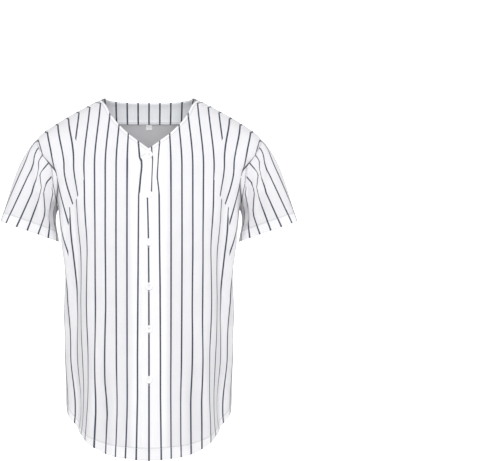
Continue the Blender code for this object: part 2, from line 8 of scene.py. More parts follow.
import bmesh
import bpy
import numpy as np
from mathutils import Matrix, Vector


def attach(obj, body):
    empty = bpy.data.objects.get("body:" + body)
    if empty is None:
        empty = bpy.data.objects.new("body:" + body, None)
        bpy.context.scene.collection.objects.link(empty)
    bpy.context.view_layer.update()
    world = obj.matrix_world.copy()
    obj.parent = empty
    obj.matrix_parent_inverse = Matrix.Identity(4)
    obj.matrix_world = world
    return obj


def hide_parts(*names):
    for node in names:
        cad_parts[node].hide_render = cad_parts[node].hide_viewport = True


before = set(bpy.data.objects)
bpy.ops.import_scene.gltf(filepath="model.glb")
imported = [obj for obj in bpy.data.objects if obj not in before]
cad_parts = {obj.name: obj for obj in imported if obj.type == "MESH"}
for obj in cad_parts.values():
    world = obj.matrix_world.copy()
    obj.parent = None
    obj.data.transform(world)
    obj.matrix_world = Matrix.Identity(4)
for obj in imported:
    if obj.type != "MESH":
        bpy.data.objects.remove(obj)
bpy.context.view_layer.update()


# The body of the jersey: two fronts and a back of white double-knit polyester, filled out as
# round a wearer. Drape folds fall from the armholes and the shirt-tail hem flares. The cloth's
# form is set level by level, and each panel is cut from it along its seams.
HEM_HEIGHT = -0.7495
SIDE_NOTCH_HEIGHT = -0.612
UNDERARM_HEIGHT = -0.232
UNDERARM_BEND = (0.30, 0.014)
PLACKET_REACH = 0.016
FRONT_SHARE = 0.521
NECK_BACK_HEIGHT = -0.0015
NECK_BACK_MIDDLE = (0.5, 0.8)          # half way out, the back neck has this share of that height
SHOULDER_END_HEIGHT = -0.0850
SHOULDER_LEVELS_END = -0.12
FOLD_ENDS = 0.35
ROWS_BY_SEAM = 0.45
FORM_BELOW_HEM = 0.015
LEVELS_CROWD, RIDGE_CROWDS = 1.6, 1.4     # the powers by which points crowd towards the neck

# height, half width, front, back, stretch of side from and to, depth of the fold in the side,
# and how square the outline is (2 is an ellipse)
LEVELS = (
    (0.000, 0.0920, -0.046, 0.065, 0.000, 0.000, 0.000, 2.35),
    (-0.009, 0.1130, -0.052, 0.071, 0.000, 0.000, 0.000, 2.35),
    (-0.029, 0.1515, -0.062, 0.080, 0.000, 0.000, 0.000, 2.35),
    (-0.054, 0.1945, -0.072, 0.088, 0.000, 0.000, 0.000, 2.35),
    (-0.085, 0.2360, -0.083, 0.095, 0.000, 0.000, 0.000, 2.35),
    (-0.116, 0.2440, -0.092, 0.100, 0.000, 0.000, 0.000, 2.33),
    (-0.150, 0.2310, -0.101, 0.103, -0.005, 0.006, 0.000, 2.28),
    (-0.190, 0.2070, -0.108, 0.104, -0.012, 0.014, 0.000, 2.22),
    (-0.235, 0.1915, -0.113, 0.103, -0.022, 0.024, 0.003, 2.24),
    (-0.270, 0.1880, -0.115, 0.102, -0.028, 0.030, 0.022, 2.26),
    (-0.306, 0.1848, -0.116, 0.100, -0.032, 0.034, 0.038, 2.24),
    (-0.370, 0.1815, -0.115, 0.098, -0.030, 0.034, 0.042, 2.14),
    (-0.440, 0.1840, -0.113, 0.099, -0.022, 0.030, 0.036, 1.96),
    (-0.500, 0.1815, -0.114, 0.104, -0.012, 0.026, 0.030, 1.82),
    (-0.560, 0.1790, -0.119, 0.112, -0.002, 0.022, 0.021, 1.80),
    (-0.620, 0.1775, -0.127, 0.123, 0.004, 0.018, 0.010, 1.84),
    (-0.680, 0.1770, -0.136, 0.136, 0.006, 0.014, 0.002, 1.96),
    (-0.760, 0.1765, -0.146, 0.150, 0.006, 0.012, 0.000, 2.15),
)

# The drape folds that run down the body: side, distance from the centre line at the top and the
# foot, height of the top and the foot, half width, and depth (negative stands out)
DRAPE_FOLDS = (
    ("front", 0.162, 0.194, -0.135, -0.540, 0.016, 0.0130),
    ("front", 0.138, 0.188, -0.215, -0.560, 0.029, 0.0165),
    ("front", 0.180, 0.180, -0.420, -0.770, 0.030, 0.0100),
    ("front", 0.098, 0.130, -0.430, -0.790, 0.022, -0.0110),
    ("front", 0.079, 0.077, -0.540, -0.840, 0.013, 0.0065),
    ("back", 0.150, 0.196, -0.120, -0.330, 0.013, 0.013),
    ("back", 0.176, 0.166, -0.230, -0.520, 0.016, 0.007),
    ("back", 0.122, 0.134, -0.480, -0.840, 0.022, 0.012),
    ("back", 0.200, 0.196, -0.500, -0.840, 0.020, 0.011),
)

NECKLINE = ((0.0, -0.1165), (0.0225, -0.1000), (0.0445, -0.0825), (0.0655, -0.0610),
            (0.0820, -0.0385), (0.0895, -0.0220))
FRONT_ARMHOLE = ((0.2340, -0.1040), (0.2245, -0.1225), (0.2085, -0.1440),
                 (0.1945, -0.1640), (0.1895, -0.1890))
BACK_ARMHOLE = ((0.2360, -0.1020), (0.2290, -0.1220), (0.2120, -0.1470),
                (0.1960, -0.1700), (0.1920, -0.1920))
SHOULDER_SEAM = ((-0.0135, 0.0500), (-0.0180, 0.0420), (-0.0215, 0.0315), (-0.0310, 0.0235),
                 (-0.0437, 0.0180), (-0.0560, 0.0130), (-0.0700, 0.0090), (-0.0850, 0.0060))
FRONT_HEM = ((0.0, 0.0), (0.10, 0.0014), (0.20, 0.0040), (0.30, 0.0062), (0.40, 0.0147),
             (0.50, 0.0273), (0.60, 0.0397), (0.70, 0.0500), (0.80, 0.0659), (0.90, 0.0860),
             (1.0, 0.1375))
BACK_HEM = ((0.0, 0.0), (0.16, 0.0020), (0.33, 0.0120), (0.49, 0.0300), (0.66, 0.0590),
            (0.82, 0.0930), (0.92, 0.1180), (1.0, 0.1375))

# Steps of the cloth's mesh, about 3 mm each, with closer ones along its edges
NECK_STEPS = 36
OVERLAP_STEPS = 6
SHOULDER_STEPS = 56
YOKE_STEPS = 6
ARMHOLE_STEPS = 56
SIDE_STEPS = 130
EDGE_STEPS = (0.0, 0.3, 0.7, 1.2)

# How finely the form is worked out: points on a quarter, a side and a whole of each level, levels
# above and below the shoulders, and points on a seam
QUARTER_POINTS, SIDE_POINTS, LEVEL_POINTS, FORM_POINTS = 500, 160, 900, 1000
UPPER_LEVELS, LOWER_LEVELS = 110, 260
SEAM_POINTS, CURVE_POINTS = 400, 1200


def smooth_table(rows, places):
    """Read a table of (place, value, ...) rows at any places, on a smooth curve through them."""
    table = np.array(rows, float)
    table = table[np.argsort(table[:, 0])]
    known, values = table[:, 0], table[:, 1:]
    slopes = np.gradient(values, known, axis=0)
    places = np.clip(np.asarray(places, float), known[0], known[-1])
    left = np.clip(np.searchsorted(known, places, side="right") - 1, 0, len(known) - 2)
    gap = (known[left + 1] - known[left])[..., None]
    t = (places[..., None] - known[left][..., None]) / gap
    from_left = (1 + 2 * t) * (1 - t) ** 2 * values[left] + t * (1 - t) ** 2 * gap * slopes[left]
    from_right = t * t * (3 - 2 * t) * values[left + 1] - t * t * (1 - t) * gap * slopes[left + 1]
    return from_left + from_right


def ease(t):
    t = np.clip(t, 0.0, 1.0)
    return t * t * (3 - 2 * t)


def walked(line):
    return np.concatenate([[0.0], np.cumsum(np.linalg.norm(np.diff(line, axis=0), axis=1))])


def at_steps(line, way, wanted):
    return np.column_stack([np.interp(wanted, way, line[:, k]) for k in range(line.shape[1])])


def respaced(line, count):
    """The same line as a number of points at equal steps."""
    way = walked(line)
    return at_steps(line, way, np.linspace(0.0, way[-1], count))


def evenly(points, count):
    """count + 1 points at equal steps along a smooth curve through the given points."""
    points = np.array(points, float)
    curve = smooth_table(np.column_stack([walked(points), points]),
                         np.linspace(0.0, walked(points)[-1], CURVE_POINTS))
    return respaced(curve, count + 1)


def unit(vectors):
    return vectors / (np.linalg.norm(vectors, axis=-1, keepdims=True) + 1e-15)


def closer_at_ends(line):
    """The same line with closer steps at both of its ends."""
    last = len(line) - 1
    inner = np.arange(2, last - 1)
    wanted = np.concatenate([EDGE_STEPS, inner, last - np.array(EDGE_STEPS)[::-1]])
    return at_steps(np.array(line, float), np.arange(last + 1), wanted)


def level_line(height):
    """Half of the jersey's outline at one height, from centre front round to centre back."""
    values = smooth_table(LEVELS, [height])[0]
    half_width, front, back, side_from, side_to, side_fold, roundness = values
    turn = np.linspace(0.0, math.pi / 2, QUARTER_POINTS)
    bulge = 2.0 / roundness
    across = half_width * np.sin(turn) ** bulge
    front_y = side_from - (side_from - front) * np.cos(turn) ** bulge
    back_y = side_to + (back - side_to) * np.cos(turn) ** bulge
    t = np.linspace(0.0, 1.0, SIDE_POINTS)[1:-1]
    side_x = half_width - side_fold * np.sin(math.pi * t) ** 2
    side_y = side_from + (side_to - side_from) * t
    line = np.column_stack([np.concatenate([across, side_x, across[::-1]]),
                            np.concatenate([front_y, side_y, back_y[::-1]])])
    line = respaced(line, LEVEL_POINTS)
    way = walked(line)
    direction = unit(np.gradient(line, axis=0))
    push = np.zeros(len(line))
    for side, top_along, foot_along, top, foot, half, depth in DRAPE_FOLDS:
        down = (top - height) / (top - foot)
        if 0.0 < down < 1.0:
            fade = ease(down / FOLD_ENDS) * ease((1.0 - down) / FOLD_ENDS)
            along = way if side == "front" else way[-1] - way
            centre = top_along + (foot_along - top_along) * down
            push -= depth * fade * np.exp(-((along - centre) / half) ** 2)
    return line + np.column_stack([direction[:, 1], -direction[:, 0]]) * push[:, None]


class JerseyForm:
    """The outside of the body, read by distance round from the centre line and by height."""

    def __init__(self):
        upper = SHOULDER_LEVELS_END * np.linspace(0.0, 1.0, UPPER_LEVELS) ** LEVELS_CROWD
        lower = np.linspace(SHOULDER_LEVELS_END, HEM_HEIGHT - FORM_BELOW_HEM, LOWER_LEVELS)
        self.heights = np.concatenate([upper, lower[1:]])
        lines, girths = [], []
        for height in self.heights:
            line = level_line(height)
            lines.append(respaced(line, FORM_POINTS))
            girths.append(walked(line)[-1])
        self.lines = np.array(lines)
        self.girths = np.array(girths)

    def girth(self, height):
        return np.interp(-np.asarray(height, float), -self.heights, self.girths)

    def level(self, height):
        upper = np.clip(np.searchsorted(-self.heights, -np.asarray(height), side="right") - 1,
                        0, len(self.heights) - 2)
        t = (self.heights[upper] - height) / (self.heights[upper] - self.heights[upper + 1])
        return upper, np.clip(t, 0.0, 1.0)

    def points(self, along, height, from_back=False):
        along, height = np.broadcast_arrays(np.asarray(along, float), np.asarray(height, float))
        upper, t = self.level(height)
        share = np.clip(np.abs(along) / self.girth(height), 0.0, 1.0)
        share = 1.0 - share if from_back else share
        spot = share * (FORM_POINTS - 1)
        index = np.minimum(spot.astype(int), FORM_POINTS - 2)
        part, t = (spot - index)[..., None], t[..., None]
        above = self.lines[upper, index] * (1 - part) + self.lines[upper, index + 1] * part
        below = self.lines[upper + 1, index] * (1 - part) + self.lines[upper + 1, index + 1] * part
        place = above * (1 - t) + below * t
        return np.stack([np.copysign(place[..., 0], along), place[..., 1], height], axis=-1)

    def laid(self, plan, from_back=False):
        """The places of a plan of (distance round, height) points."""
        return self.points(plan[..., 0], plan[..., 1], from_back)

    def along_at_width(self, width, height, from_back=False):
        """How far round from the centre line the form first reaches a half width."""
        upper, t = self.level(height)
        line = self.lines[upper] * (1 - t) + self.lines[upper + 1] * t
        line = line[::-1] if from_back else line
        steps = np.linspace(0.0, float(self.girth(height)), FORM_POINTS)
        widest = int(np.argmax(line[:, 0]))
        return np.interp(width, line[:widest + 1, 0], steps[:widest + 1])


form = JerseyForm()


def side_seam_at(height, from_back=False):
    return form.girth(height) * ((1.0 - FRONT_SHARE) if from_back else FRONT_SHARE)


def from_outline(outline, from_back=False):
    """Turn (half width, height) points into (distance round, height) points."""
    return [(float(form.along_at_width(width, height, from_back)), height)
            for width, height in outline]


def even_on_form(heights, along, steps, from_back=False):
    way = walked(form.points(along, heights, from_back))
    return at_steps(np.column_stack([along, heights]), way, np.linspace(0.0, way[-1], steps + 1))


def shoulder_seam_line():
    heights = np.linspace(SHOULDER_SEAM[0][0], SHOULDER_END_HEIGHT, SEAM_POINTS)
    forward = smooth_table(SHOULDER_SEAM, heights)[:, 0]
    along = np.array([form.along_at_width(1.0, z) for z in heights]) - forward
    return even_on_form(heights, along, SHOULDER_STEPS)


def shoulder_ridge_line():
    heights = SHOULDER_END_HEIGHT * np.linspace(0.0, 1.0, SEAM_POINTS) ** RIDGE_CROWDS
    along = np.array([form.along_at_width(1.0, z, True) for z in heights])
    return even_on_form(heights, along, SHOULDER_STEPS, True)


def armhole_line(outline, start, from_back=False):
    turned = from_outline(outline, from_back)
    seam = float(side_seam_at(UNDERARM_HEIGHT, from_back))
    inwards, above = UNDERARM_BEND
    bend = (turned[-1][0] + inwards * (seam - turned[-1][0]), UNDERARM_HEIGHT + above)
    return evenly([tuple(start)] + turned + [bend, (seam, UNDERARM_HEIGHT)], ARMHOLE_STEPS)


def side_line(from_back=False):
    heights = np.linspace(UNDERARM_HEIGHT, SIDE_NOTCH_HEIGHT, SIDE_STEPS + 1)
    return np.column_stack([side_seam_at(heights, from_back), heights])


def filled(top, bottom, left, right):
    """A grid of (distance round, height) points blended from its four borders."""
    t = np.linspace(0.0, 1.0, len(top))[None, :, None]
    down_left = (walked(left) / walked(left)[-1])[:, None, None]
    down_right = (walked(right) / walked(right)[-1])[:, None, None]
    s = down_left * (1 - t) + down_right * t
    u = ((walked(top) / walked(top)[-1])[None, :, None] * (1 - s)
         + (walked(bottom) / walked(bottom)[-1])[None, :, None] * s)
    return (left[:, None] * (1 - u) + right[:, None] * u + top[None] * (1 - s) + bottom[None] * s
            - top[0] * (1 - u) * (1 - s) - top[-1] * u * (1 - s)
            - bottom[0] * (1 - u) * s - bottom[-1] * u * s)


def heights_at_centre(right, top_height):
    by_height = (right[:, 1] - right[0, 1]) / (right[-1, 1] - right[0, 1])
    down = (1.0 - ROWS_BY_SEAM) * by_height + ROWS_BY_SEAM * walked(right) / walked(right)[-1]
    return top_height + down * (HEM_HEIGHT - top_height)


def hem_line(top, first, girth, shape):
    along = first + walked(top) / walked(top)[-1] * (girth - first)
    rise = smooth_table(shape, np.abs(along) / girth)[:, 0]
    return np.column_stack([along, HEM_HEIGHT + rise])


def front_cut():
    slope = (NECKLINE[0][1] - NECKLINE[1][1]) / NECKLINE[1][0]
    overlap_top = (-PLACKET_REACH, NECKLINE[0][1] + slope * PLACKET_REACH)
    seam = shoulder_seam_line()
    neck = evenly(from_outline(NECKLINE) + [tuple(seam[0])], NECK_STEPS)
    overlap = np.linspace(overlap_top, neck[0], OVERLAP_STEPS + 1)
    top = closer_at_ends(np.concatenate([overlap[:-1], neck[:-1], seam]))
    right = closer_at_ends(np.concatenate([armhole_line(FRONT_ARMHOLE, seam[-1]), side_line()[1:]]))
    bottom = hem_line(top, -PLACKET_REACH, float(side_seam_at(SIDE_NOTCH_HEIGHT)), FRONT_HEM)
    heights = heights_at_centre(right, overlap_top[1])
    left = np.column_stack([np.full(len(heights), -PLACKET_REACH), heights])
    return filled(top, bottom, left, right)


def back_cut():
    ridge = shoulder_ridge_line()
    out, rise = NECK_BACK_MIDDLE
    middle = (out * ridge[0][0], rise * NECK_BACK_HEIGHT)
    neck = evenly([(0.0, NECK_BACK_HEIGHT), middle, tuple(ridge[0])], NECK_STEPS)
    top = closer_at_ends(np.concatenate([neck[:-1], ridge]))
    right = closer_at_ends(np.concatenate([armhole_line(BACK_ARMHOLE, ridge[-1], True),
                                           side_line(True)[1:]]))
    bottom = hem_line(top, 0.0, float(side_seam_at(SIDE_NOTCH_HEIGHT, True)), BACK_HEM)
    heights = heights_at_centre(right, NECK_BACK_HEIGHT)
    return filled(top, bottom, np.column_stack([np.zeros(len(heights)), heights]), right)


def yoke_cut():
    """The strip of the back that comes over the shoulder ridge, down to the shoulder seam."""
    last = NECK_STEPS + SHOULDER_STEPS
    seam = shoulder_seam_line()
    seam[:, 0] = form.girth(seam[:, 1]) - seam[:, 0]
    strip = np.linspace(shoulder_ridge_line(), seam, YOKE_STEPS + 1)
    wanted = np.concatenate([np.arange(NECK_STEPS, last - 1), last - np.array(EDGE_STEPS)[::-1]])
    return np.array([at_steps(row, np.arange(len(row)), wanted - NECK_STEPS) for row in strip])


# The stripes run down the cloth 22.5 mm apart. Above the underarm they go straight up, and lean
# towards the neck at the shoulder. The button stand pulls the middle ones out of line, and the
# fold below the armhole swallows three of them on their way down.
STRIPE_PITCH = 0.0225
STRIPE_TURN_HEIGHT = -0.150
FRONT_LEAN = ((0.0, 0.0), (0.020, 0.0017), (0.040, 0.0055), (0.060, 0.0093), (0.080, 0.011),
              (0.250, 0.011))
BACK_LEAN = ((0.0, 0.0), (0.050, -0.003), (0.090, -0.006), (0.120, 0.0), (0.160, 0.0045),
             (0.240, 0.009))
# height, then how far the stripes to the wearer's right of the centre, at it, and to its left
# stand off their even places
STAND_STRIPES = (
    (-0.085, 0.0000, 0.0048, 0.0000), (-0.103, 0.0000, 0.0048, -0.0006),
    (-0.137, 0.0034, 0.0078, -0.0042), (-0.139, 0.0071, 0.0079, -0.0044),
    (-0.1525, 0.0080, 0.0074, -0.0051), (-0.163, 0.0070, 0.0070, -0.0060),
    (-0.177, 0.0053, 0.0066, -0.0063), (-0.203, 0.0028, 0.0056, -0.0030),
    (-0.209, 0.0022, 0.0052, -0.0024), (-0.211, 0.0017, -0.0038, -0.0019),
    (-0.260, 0.0011, -0.0022, -0.0015), (-0.304, 0.0008, -0.0012, -0.0012),
    (-0.400, 0.0000, -0.0004, 0.0000), (-0.540, -0.0012, 0.0, 0.0006),
    (-0.620, -0.0010, 0.0000, 0.0005), (-0.750, -0.0036, 0.0000, 0.0022))
SWALLOWED = (2.0, -0.155, -0.410)      # pitches in the fold, and the heights where it takes them
SWALLOWED_ABOVE = 0.095                # how far below the shoulder it has taken one more
SHOULDER_HOOK = (0.0045, 0.0035, 0.0065)    # how far out stripes turn at the shoulder, and where
# Towards the hem the right front's stripes wave: height, then how far out each of the stripes
# from the second to the seventh swings
STRIPE_WAVES = (
    (-0.450, 0.0000, 0.0000, 0.0000, 0.0000, 0.0000, 0.0000),
    (-0.597, 0.0000, 0.0004, -0.0034, -0.0014, -0.0014, 0.0000),
    (-0.660, 0.0006, 0.0006, 0.0000, -0.0010, -0.0040, -0.0050),
    (-0.750, 0.0035, 0.0039, 0.0040, -0.0045, -0.0100, -0.0120))


def stripe_across(plan, width, from_back=False):
    """The cloth's own distance across from the centre line, which the stripes are counted by."""
    along, height, width = plan[..., 0], plan[..., 1], np.abs(width)
    below = form.along_at_width(width, STRIPE_TURN_HEIGHT, from_back)
    shoulders = np.array([row[:2] for row in LEVELS[:6]])
    top = np.interp(width, shoulders[:, 1], shoulders[:, 0])
    rise = ease((height - STRIPE_TURN_HEIGHT) / (top - STRIPE_TURN_HEIGHT))
    lean = np.interp(width, *np.array(BACK_LEAN if from_back else FRONT_LEAN).T)
    if not from_back:
        out, start, fade = SHOULDER_HOOK
        lean = lean - out * (1.0 - ease((top - height - start) / fade))
    above = (1 - rise) * below + rise * (width + lean)
    return np.where(height > STRIPE_TURN_HEIGHT, np.copysign(above, along), along)


def drawn_by_stand(across, height):
    """Move the three middle stripes to where the button stand draws them."""
    table = np.array(STAND_STRIPES)
    shifts = [np.interp(-height, -table[:, 0], table[:, k]) for k in (1, 2, 3)]
    places = [np.full_like(across, -2 * STRIPE_PITCH)]
    places += [n * STRIPE_PITCH + shift for n, shift in zip((-1, 0, 1), shifts)]
    places += [np.full_like(across, 2 * STRIPE_PITCH)]
    moved = across.copy()
    for n in range(4):
        inside = (across >= places[n]) & (across < places[n + 1])
        share = (across - places[n]) / (places[n + 1] - places[n])
        moved[inside] = ((n - 2 + share) * STRIPE_PITCH)[inside]
    return moved


def waved(across, height):
    """Swing the stripes of the right front out or in towards its hem."""
    table = np.array(STRIPE_WAVES)
    still = np.zeros_like(height)
    swings = [np.interp(-height, -table[:, 0], column) for column in table.T[1:]]
    swings = np.array([still] + swings + [still])
    last = len(swings) - 1
    count = np.clip(np.abs(across) / STRIPE_PITCH - 1.0, 0.0, last - 0.001)
    whole, part = count.astype(int), count % 1.0
    rows, columns = np.indices(across.shape)
    swing = swings[whole, rows, columns] * (1 - part) + swings[whole + 1, rows, columns] * part
    return across - np.copysign(swing, across)


# Softer creases listed for the body: side, hand (1 the wearer's left, -1 the right, 0 both),
# distance round and height of both ends, half width, and depth (negative stands out)
BODY_CREASES = (
    ("front", 0, 0.0165, -0.126, 0.0190, -0.200, 0.0045, 0.0022),
    ("front", -1, 0.0130, -0.118, 0.0300, -0.140, 0.0035, 0.0018),
    ("front", 1, 0.0150, -0.122, 0.0340, -0.146, 0.0040, 0.0014),
    ("front", 0, 0.2000, -0.095, 0.1720, -0.165, 0.0100, 0.0040),
    ("front", 0, 0.2250, -0.120, 0.1980, -0.175, 0.0080, 0.0035),
    ("front", 1, 0.0500, -0.520, 0.0560, -0.800, 0.0140, 0.0022),
    ("front", -1, 0.0440, -0.560, 0.0520, -0.800, 0.0150, 0.0026),
    ("front", -1, 0.0900, -0.300, 0.1010, -0.480, 0.0160, 0.0018),
    ("front", 1, 0.0980, -0.330, 0.0930, -0.520, 0.0150, 0.0018),
    ("front", 0, 0.2230, -0.300, 0.2080, -0.560, 0.0140, 0.0060),
    ("front", 0, 0.1900, -0.560, 0.1980, -0.800, 0.0150, 0.0050),
    ("back", 0, 0.1850, -0.060, 0.1700, -0.150, 0.0120, 0.0050),
    ("back", 0, 0.1450, -0.070, 0.1350, -0.150, 0.0170, -0.0030),
    ("back", 1, 0.0600, -0.500, 0.0660, -0.800, 0.0180, 0.0030),
    ("back", -1, 0.0520, -0.540, 0.0600, -0.800, 0.0170, 0.0030),
    ("back", 0, 0.0900, -0.360, 0.1010, -0.600, 0.0180, 0.0022),
    ("back", 0, 0.2150, -0.250, 0.2250, -0.480, 0.0150, 0.0060),
    ("back", 1, 0.0300, -0.380, 0.0240, -0.560, 0.0150, 0.0014),
)


def trough(x, y, start, end, half, depth):
    """How far one soft crease, from a start to an end, pushes each place of the cloth in."""
    run = np.subtract(end, start)
    length = np.linalg.norm(run)
    run = run / length
    part = ((x - start[0]) * run[0] + (y - start[1]) * run[1]) / length
    off = (x - start[0]) * run[1] - (y - start[1]) * run[0]
    fade = ease(part / FOLD_ENDS) * ease((1 - part) / FOLD_ENDS)
    return depth * fade * np.exp(-(off / half) ** 2)


def crease_push(side, along, height):
    """How far the creases of one side of the body push each place of the cloth in."""
    push = np.zeros_like(along)
    for where, hand, x0, z0, x1, z1, half, depth in BODY_CREASES:
        if where == side:
            across = np.abs(along) if hand == 0 else along * hand
            push += trough(across, height, (x0, z0), (x1, z1), half, depth)
    return push


# The cloth itself: double-knit polyester with fine ribs, printed with thin slate-blue stripes. It is
# painted whiter where it is doubled, as painted light for less shade showing through, and its reverse
# is painted grey as painted shade. A seam draws it in, and a hem's turning stands out a little.
CLOTH_THICK = 0.0012
EDGE_ROUND = 0.3                      # share of the thickness that a turned edge bulges
SEAM_DRAW = (0.0010, 0.0024)          # depth and half width
HEM_ADDS = 0.0005
HEM_INSIDE = 0.6                      # the share of that on the inside
HEM_SOFT = 0.0020                     # width of the step where a hem's turning ends
FAR_OFF = 1.0                         # further from a seam or hem than any place is
POINTS_AT_ONCE = 1500
CLOTH_WHITE = (0.735, 0.728, 0.751, 1.0)
# Painted light: doubled cloth is given a whiter colour, for less shade showing through it
DOUBLED_PAINTED_LIGHT = (0.825, 0.821, 0.839, 1.0)
# Painted light: the back neck facing is given a brighter white than the same cloth elsewhere
FACING_PAINTED_LIGHT = (0.940, 0.952, 0.985, 1.0)
# Painted shade: the cloth's reverse, seen inside the jersey, is given a dark grey
REVERSE_PAINTED_SHADE = (0.54, 0.535, 0.555, 1.0)
STRIPE_BLUE = (0.022, 0.032, 0.060, 1.0)
STRIPE_WIDTH = 0.0033
STRIPE_EDGE = 0.00025
# Painted shadow: how dark the line along each hem's turned edge is painted
HEM_SHADOW_DARKENING = 0.84
RIB_PITCH, RIB_RISE = 0.0011, 0.00003
LOOP_PITCH, LOOP_RISE = 0.0008, 0.00002
PUCKER_RISE, SLACK_RISE, HEM_GROOVE = 0.0009, 0.0016, 0.00035
SEAM_PUCKERS, HEM_PUCKERS, GROOVE_HALF = 0.014, 0.006, 0.0012     # how far from it each reaches
HEM_SHADOW_REACH = (0.0004, 0.0022)     # the painted shadow line along a hem: from full to nothing


def distance_to_lines(points, lines):
    """The distance from each point to the nearest of some lines."""
    nearest = np.full(len(points), FAR_OFF)
    for line in lines:
        start, run = line[:-1], np.diff(line, axis=0)
        size = np.maximum((run ** 2).sum(axis=1), 1e-14)
        for first in range(0, len(points), POINTS_AT_ONCE):
            part = slice(first, first + POINTS_AT_ONCE)
            some = points[part, None] - start[None]
            t = np.clip((some * run[None]).sum(axis=2) / size, 0.0, 1.0)
            off = np.linalg.norm(some - run[None] * t[..., None], axis=2).min(axis=1)
            nearest[part] = np.minimum(nearest[part], off)
    return nearest


class Cloth:
    """One piece of cloth as an open surface, from grids that share their common borders.

    The grids are those of the wearer's left side; a hand of -1 turns them over to the right.
    """

    def __init__(self, name, grids, across, hand=1):
        self.name = name
        every = np.concatenate([np.ascontiguousarray(grid).reshape(-1, 3) for grid in grids])
        _, first, index = np.unique(np.round(every * 1e6).astype(int), axis=0,
                                    return_index=True, return_inverse=True)
        self.points = every[first] * np.array([hand, 1.0, 1.0])
        ends = np.cumsum([grid.shape[0] * grid.shape[1] for grid in grids])[:-1]
        self.index = [part.reshape(grid.shape[:2])
                      for part, grid in zip(np.split(index.reshape(-1), ends), grids)]
        faces, face_across = [], []
        for table, place in zip(self.index, across):
            for values, found in ((table, faces), (place, face_across)):
                corners = [values[:-1, :-1], values[1:, :-1], values[1:, 1:], values[:-1, 1:]]
                corners = corners[::-1] if hand < 0 else corners
                found.append(np.stack([c.reshape(-1, *values.shape[2:]) for c in corners], axis=1))
        self.faces = np.concatenate(faces)
        self.face_across = np.concatenate(face_across)
        self.refresh()

    def refresh(self):
        """Find the outward direction at every point."""
        a, b, c, d = (self.points[self.faces[:, k]] for k in range(4))
        flat = np.cross(c - a, d - b)
        self.normals = np.zeros_like(self.points)
        for k in range(4):
            np.add.at(self.normals, self.faces[:, k], flat)
        self.normals = unit(self.normals)

    def line(self, grid, rows, columns):
        """The points along one border of a grid."""
        return self.points[self.index[grid][rows, columns].reshape(-1)]

    def spread(self, tables):
        """One value for each point, from a table for each grid."""
        values = np.zeros((len(self.points),) + tables[0].shape[2:])
        for index, table in zip(self.index, tables):
            values[index.reshape(-1)] = table.reshape(-1, *table.shape[2:])
        return values

    def border(self):
        edges = np.concatenate([self.faces[:, [k, (k + 1) % 4]] for k in range(4)])
        sides = np.sort(edges, axis=1)
        _, first, count = np.unique(sides, axis=0, return_index=True, return_counts=True)
        return edges[first[count == 1]]

    def settle(self, push, sewn, hems):
        """Press the creases in, draw the seams in, and find the way to each seam and hem."""
        self.points = self.points - self.normals * push[:, None]
        self.refresh()
        self.seam_way = distance_to_lines(self.points, sewn(self))
        depth, half = SEAM_DRAW
        self.points = self.points - self.normals * (depth * np.exp(-(self.seam_way / half) ** 2))[:, None]
        self.refresh()
        self.hem_way = np.full(len(self.points), FAR_OFF)
        self.bands = []
        for lines, band in hems(self):
            self.bands.append(distance_to_lines(self.points, lines) - band)
            self.hem_way = np.minimum(self.hem_way, self.bands[-1])
        self.doubled = 1.0 - ease(self.hem_way / HEM_SOFT + 0.5)
        self.extra = HEM_ADDS * self.doubled

    def shell(self, thick=CLOTH_THICK):
        """The mesh of the cloth: its face, its reverse, and its turned edge."""
        count = len(self.points)
        outer = self.points + self.normals * self.extra[:, None]
        inner = self.points - self.normals * (thick + self.extra * HEM_INSIDE)[:, None]
        edges = self.border()
        rim_of = {int(v): 2 * count + n for n, v in enumerate(np.unique(edges))}
        rim = np.unique(edges)
        a, b = edges.T
        push = np.zeros_like(self.points)
        side = np.cross(self.points[b] - self.points[a], self.normals[a] + self.normals[b])
        for k in (a, b):
            np.add.at(push, k, side)
        middle = (outer[rim] + inner[rim]) / 2 + unit(push[rim]) * thick * EDGE_ROUND
        points = np.concatenate([outer, inner, middle])
        rim_index = np.vectorize(rim_of.get)
        ra, rb = rim_index(a), rim_index(b)
        faces = np.concatenate([self.faces, self.faces[:, ::-1] + count,
                                np.stack([b, a, ra, rb], axis=1),
                                np.stack([rb, ra, a + count, b + count], axis=1)])
        of_point = np.zeros((count, 2))
        of_point[self.faces.reshape(-1)] = self.face_across.reshape(-1, 2)
        edge_across = np.stack([of_point[b], of_point[a], of_point[a], of_point[b]], axis=1)
        across = np.concatenate([self.face_across, self.face_across[:, ::-1], edge_across, edge_across])
        kind = np.concatenate([np.zeros(len(self.faces), int), np.ones(len(self.faces), int),
                               np.zeros(len(edges), int), np.ones(len(edges), int)])
        mesh = bpy.data.meshes.new(self.name)
        mesh.from_pydata(points.tolist(), [], faces.tolist())
        mesh.polygons.foreach_set("material_index", kind)
        mesh.uv_layers.new(name="cloth").uv.foreach_set("vector", across.reshape(-1))
        for label, values in (("seam_way", self.seam_way), ("hem_way", self.hem_way),
                              ("doubled", self.doubled)):
            whole = np.concatenate([values, values, values[rim]])
            mesh.attributes.new(label, "FLOAT", "POINT").data.foreach_set("value", whole)
        mesh.shade_smooth()
        mesh.update()
        return placed(self.name, mesh)


def placed(name, data):
    made = bpy.data.objects.new(name, data)
    bpy.context.scene.collection.objects.link(made)
    return made


def node(tree, kind, inputs=None, **settings):
    """Add a shader or geometry node, set it up, and link or fill its inputs."""
    made = tree.nodes.new(kind)
    for key, value in settings.items():
        setattr(made, key, value)
    for key, value in (inputs or {}).items():
        if isinstance(value, bpy.types.NodeSocket):
            tree.links.new(value, made.inputs[key])
        else:
            made.inputs[key].default_value = value
    return made


def maths(tree, operation, *values):
    return node(tree, "ShaderNodeMath", dict(enumerate(values)), operation=operation).outputs[0]


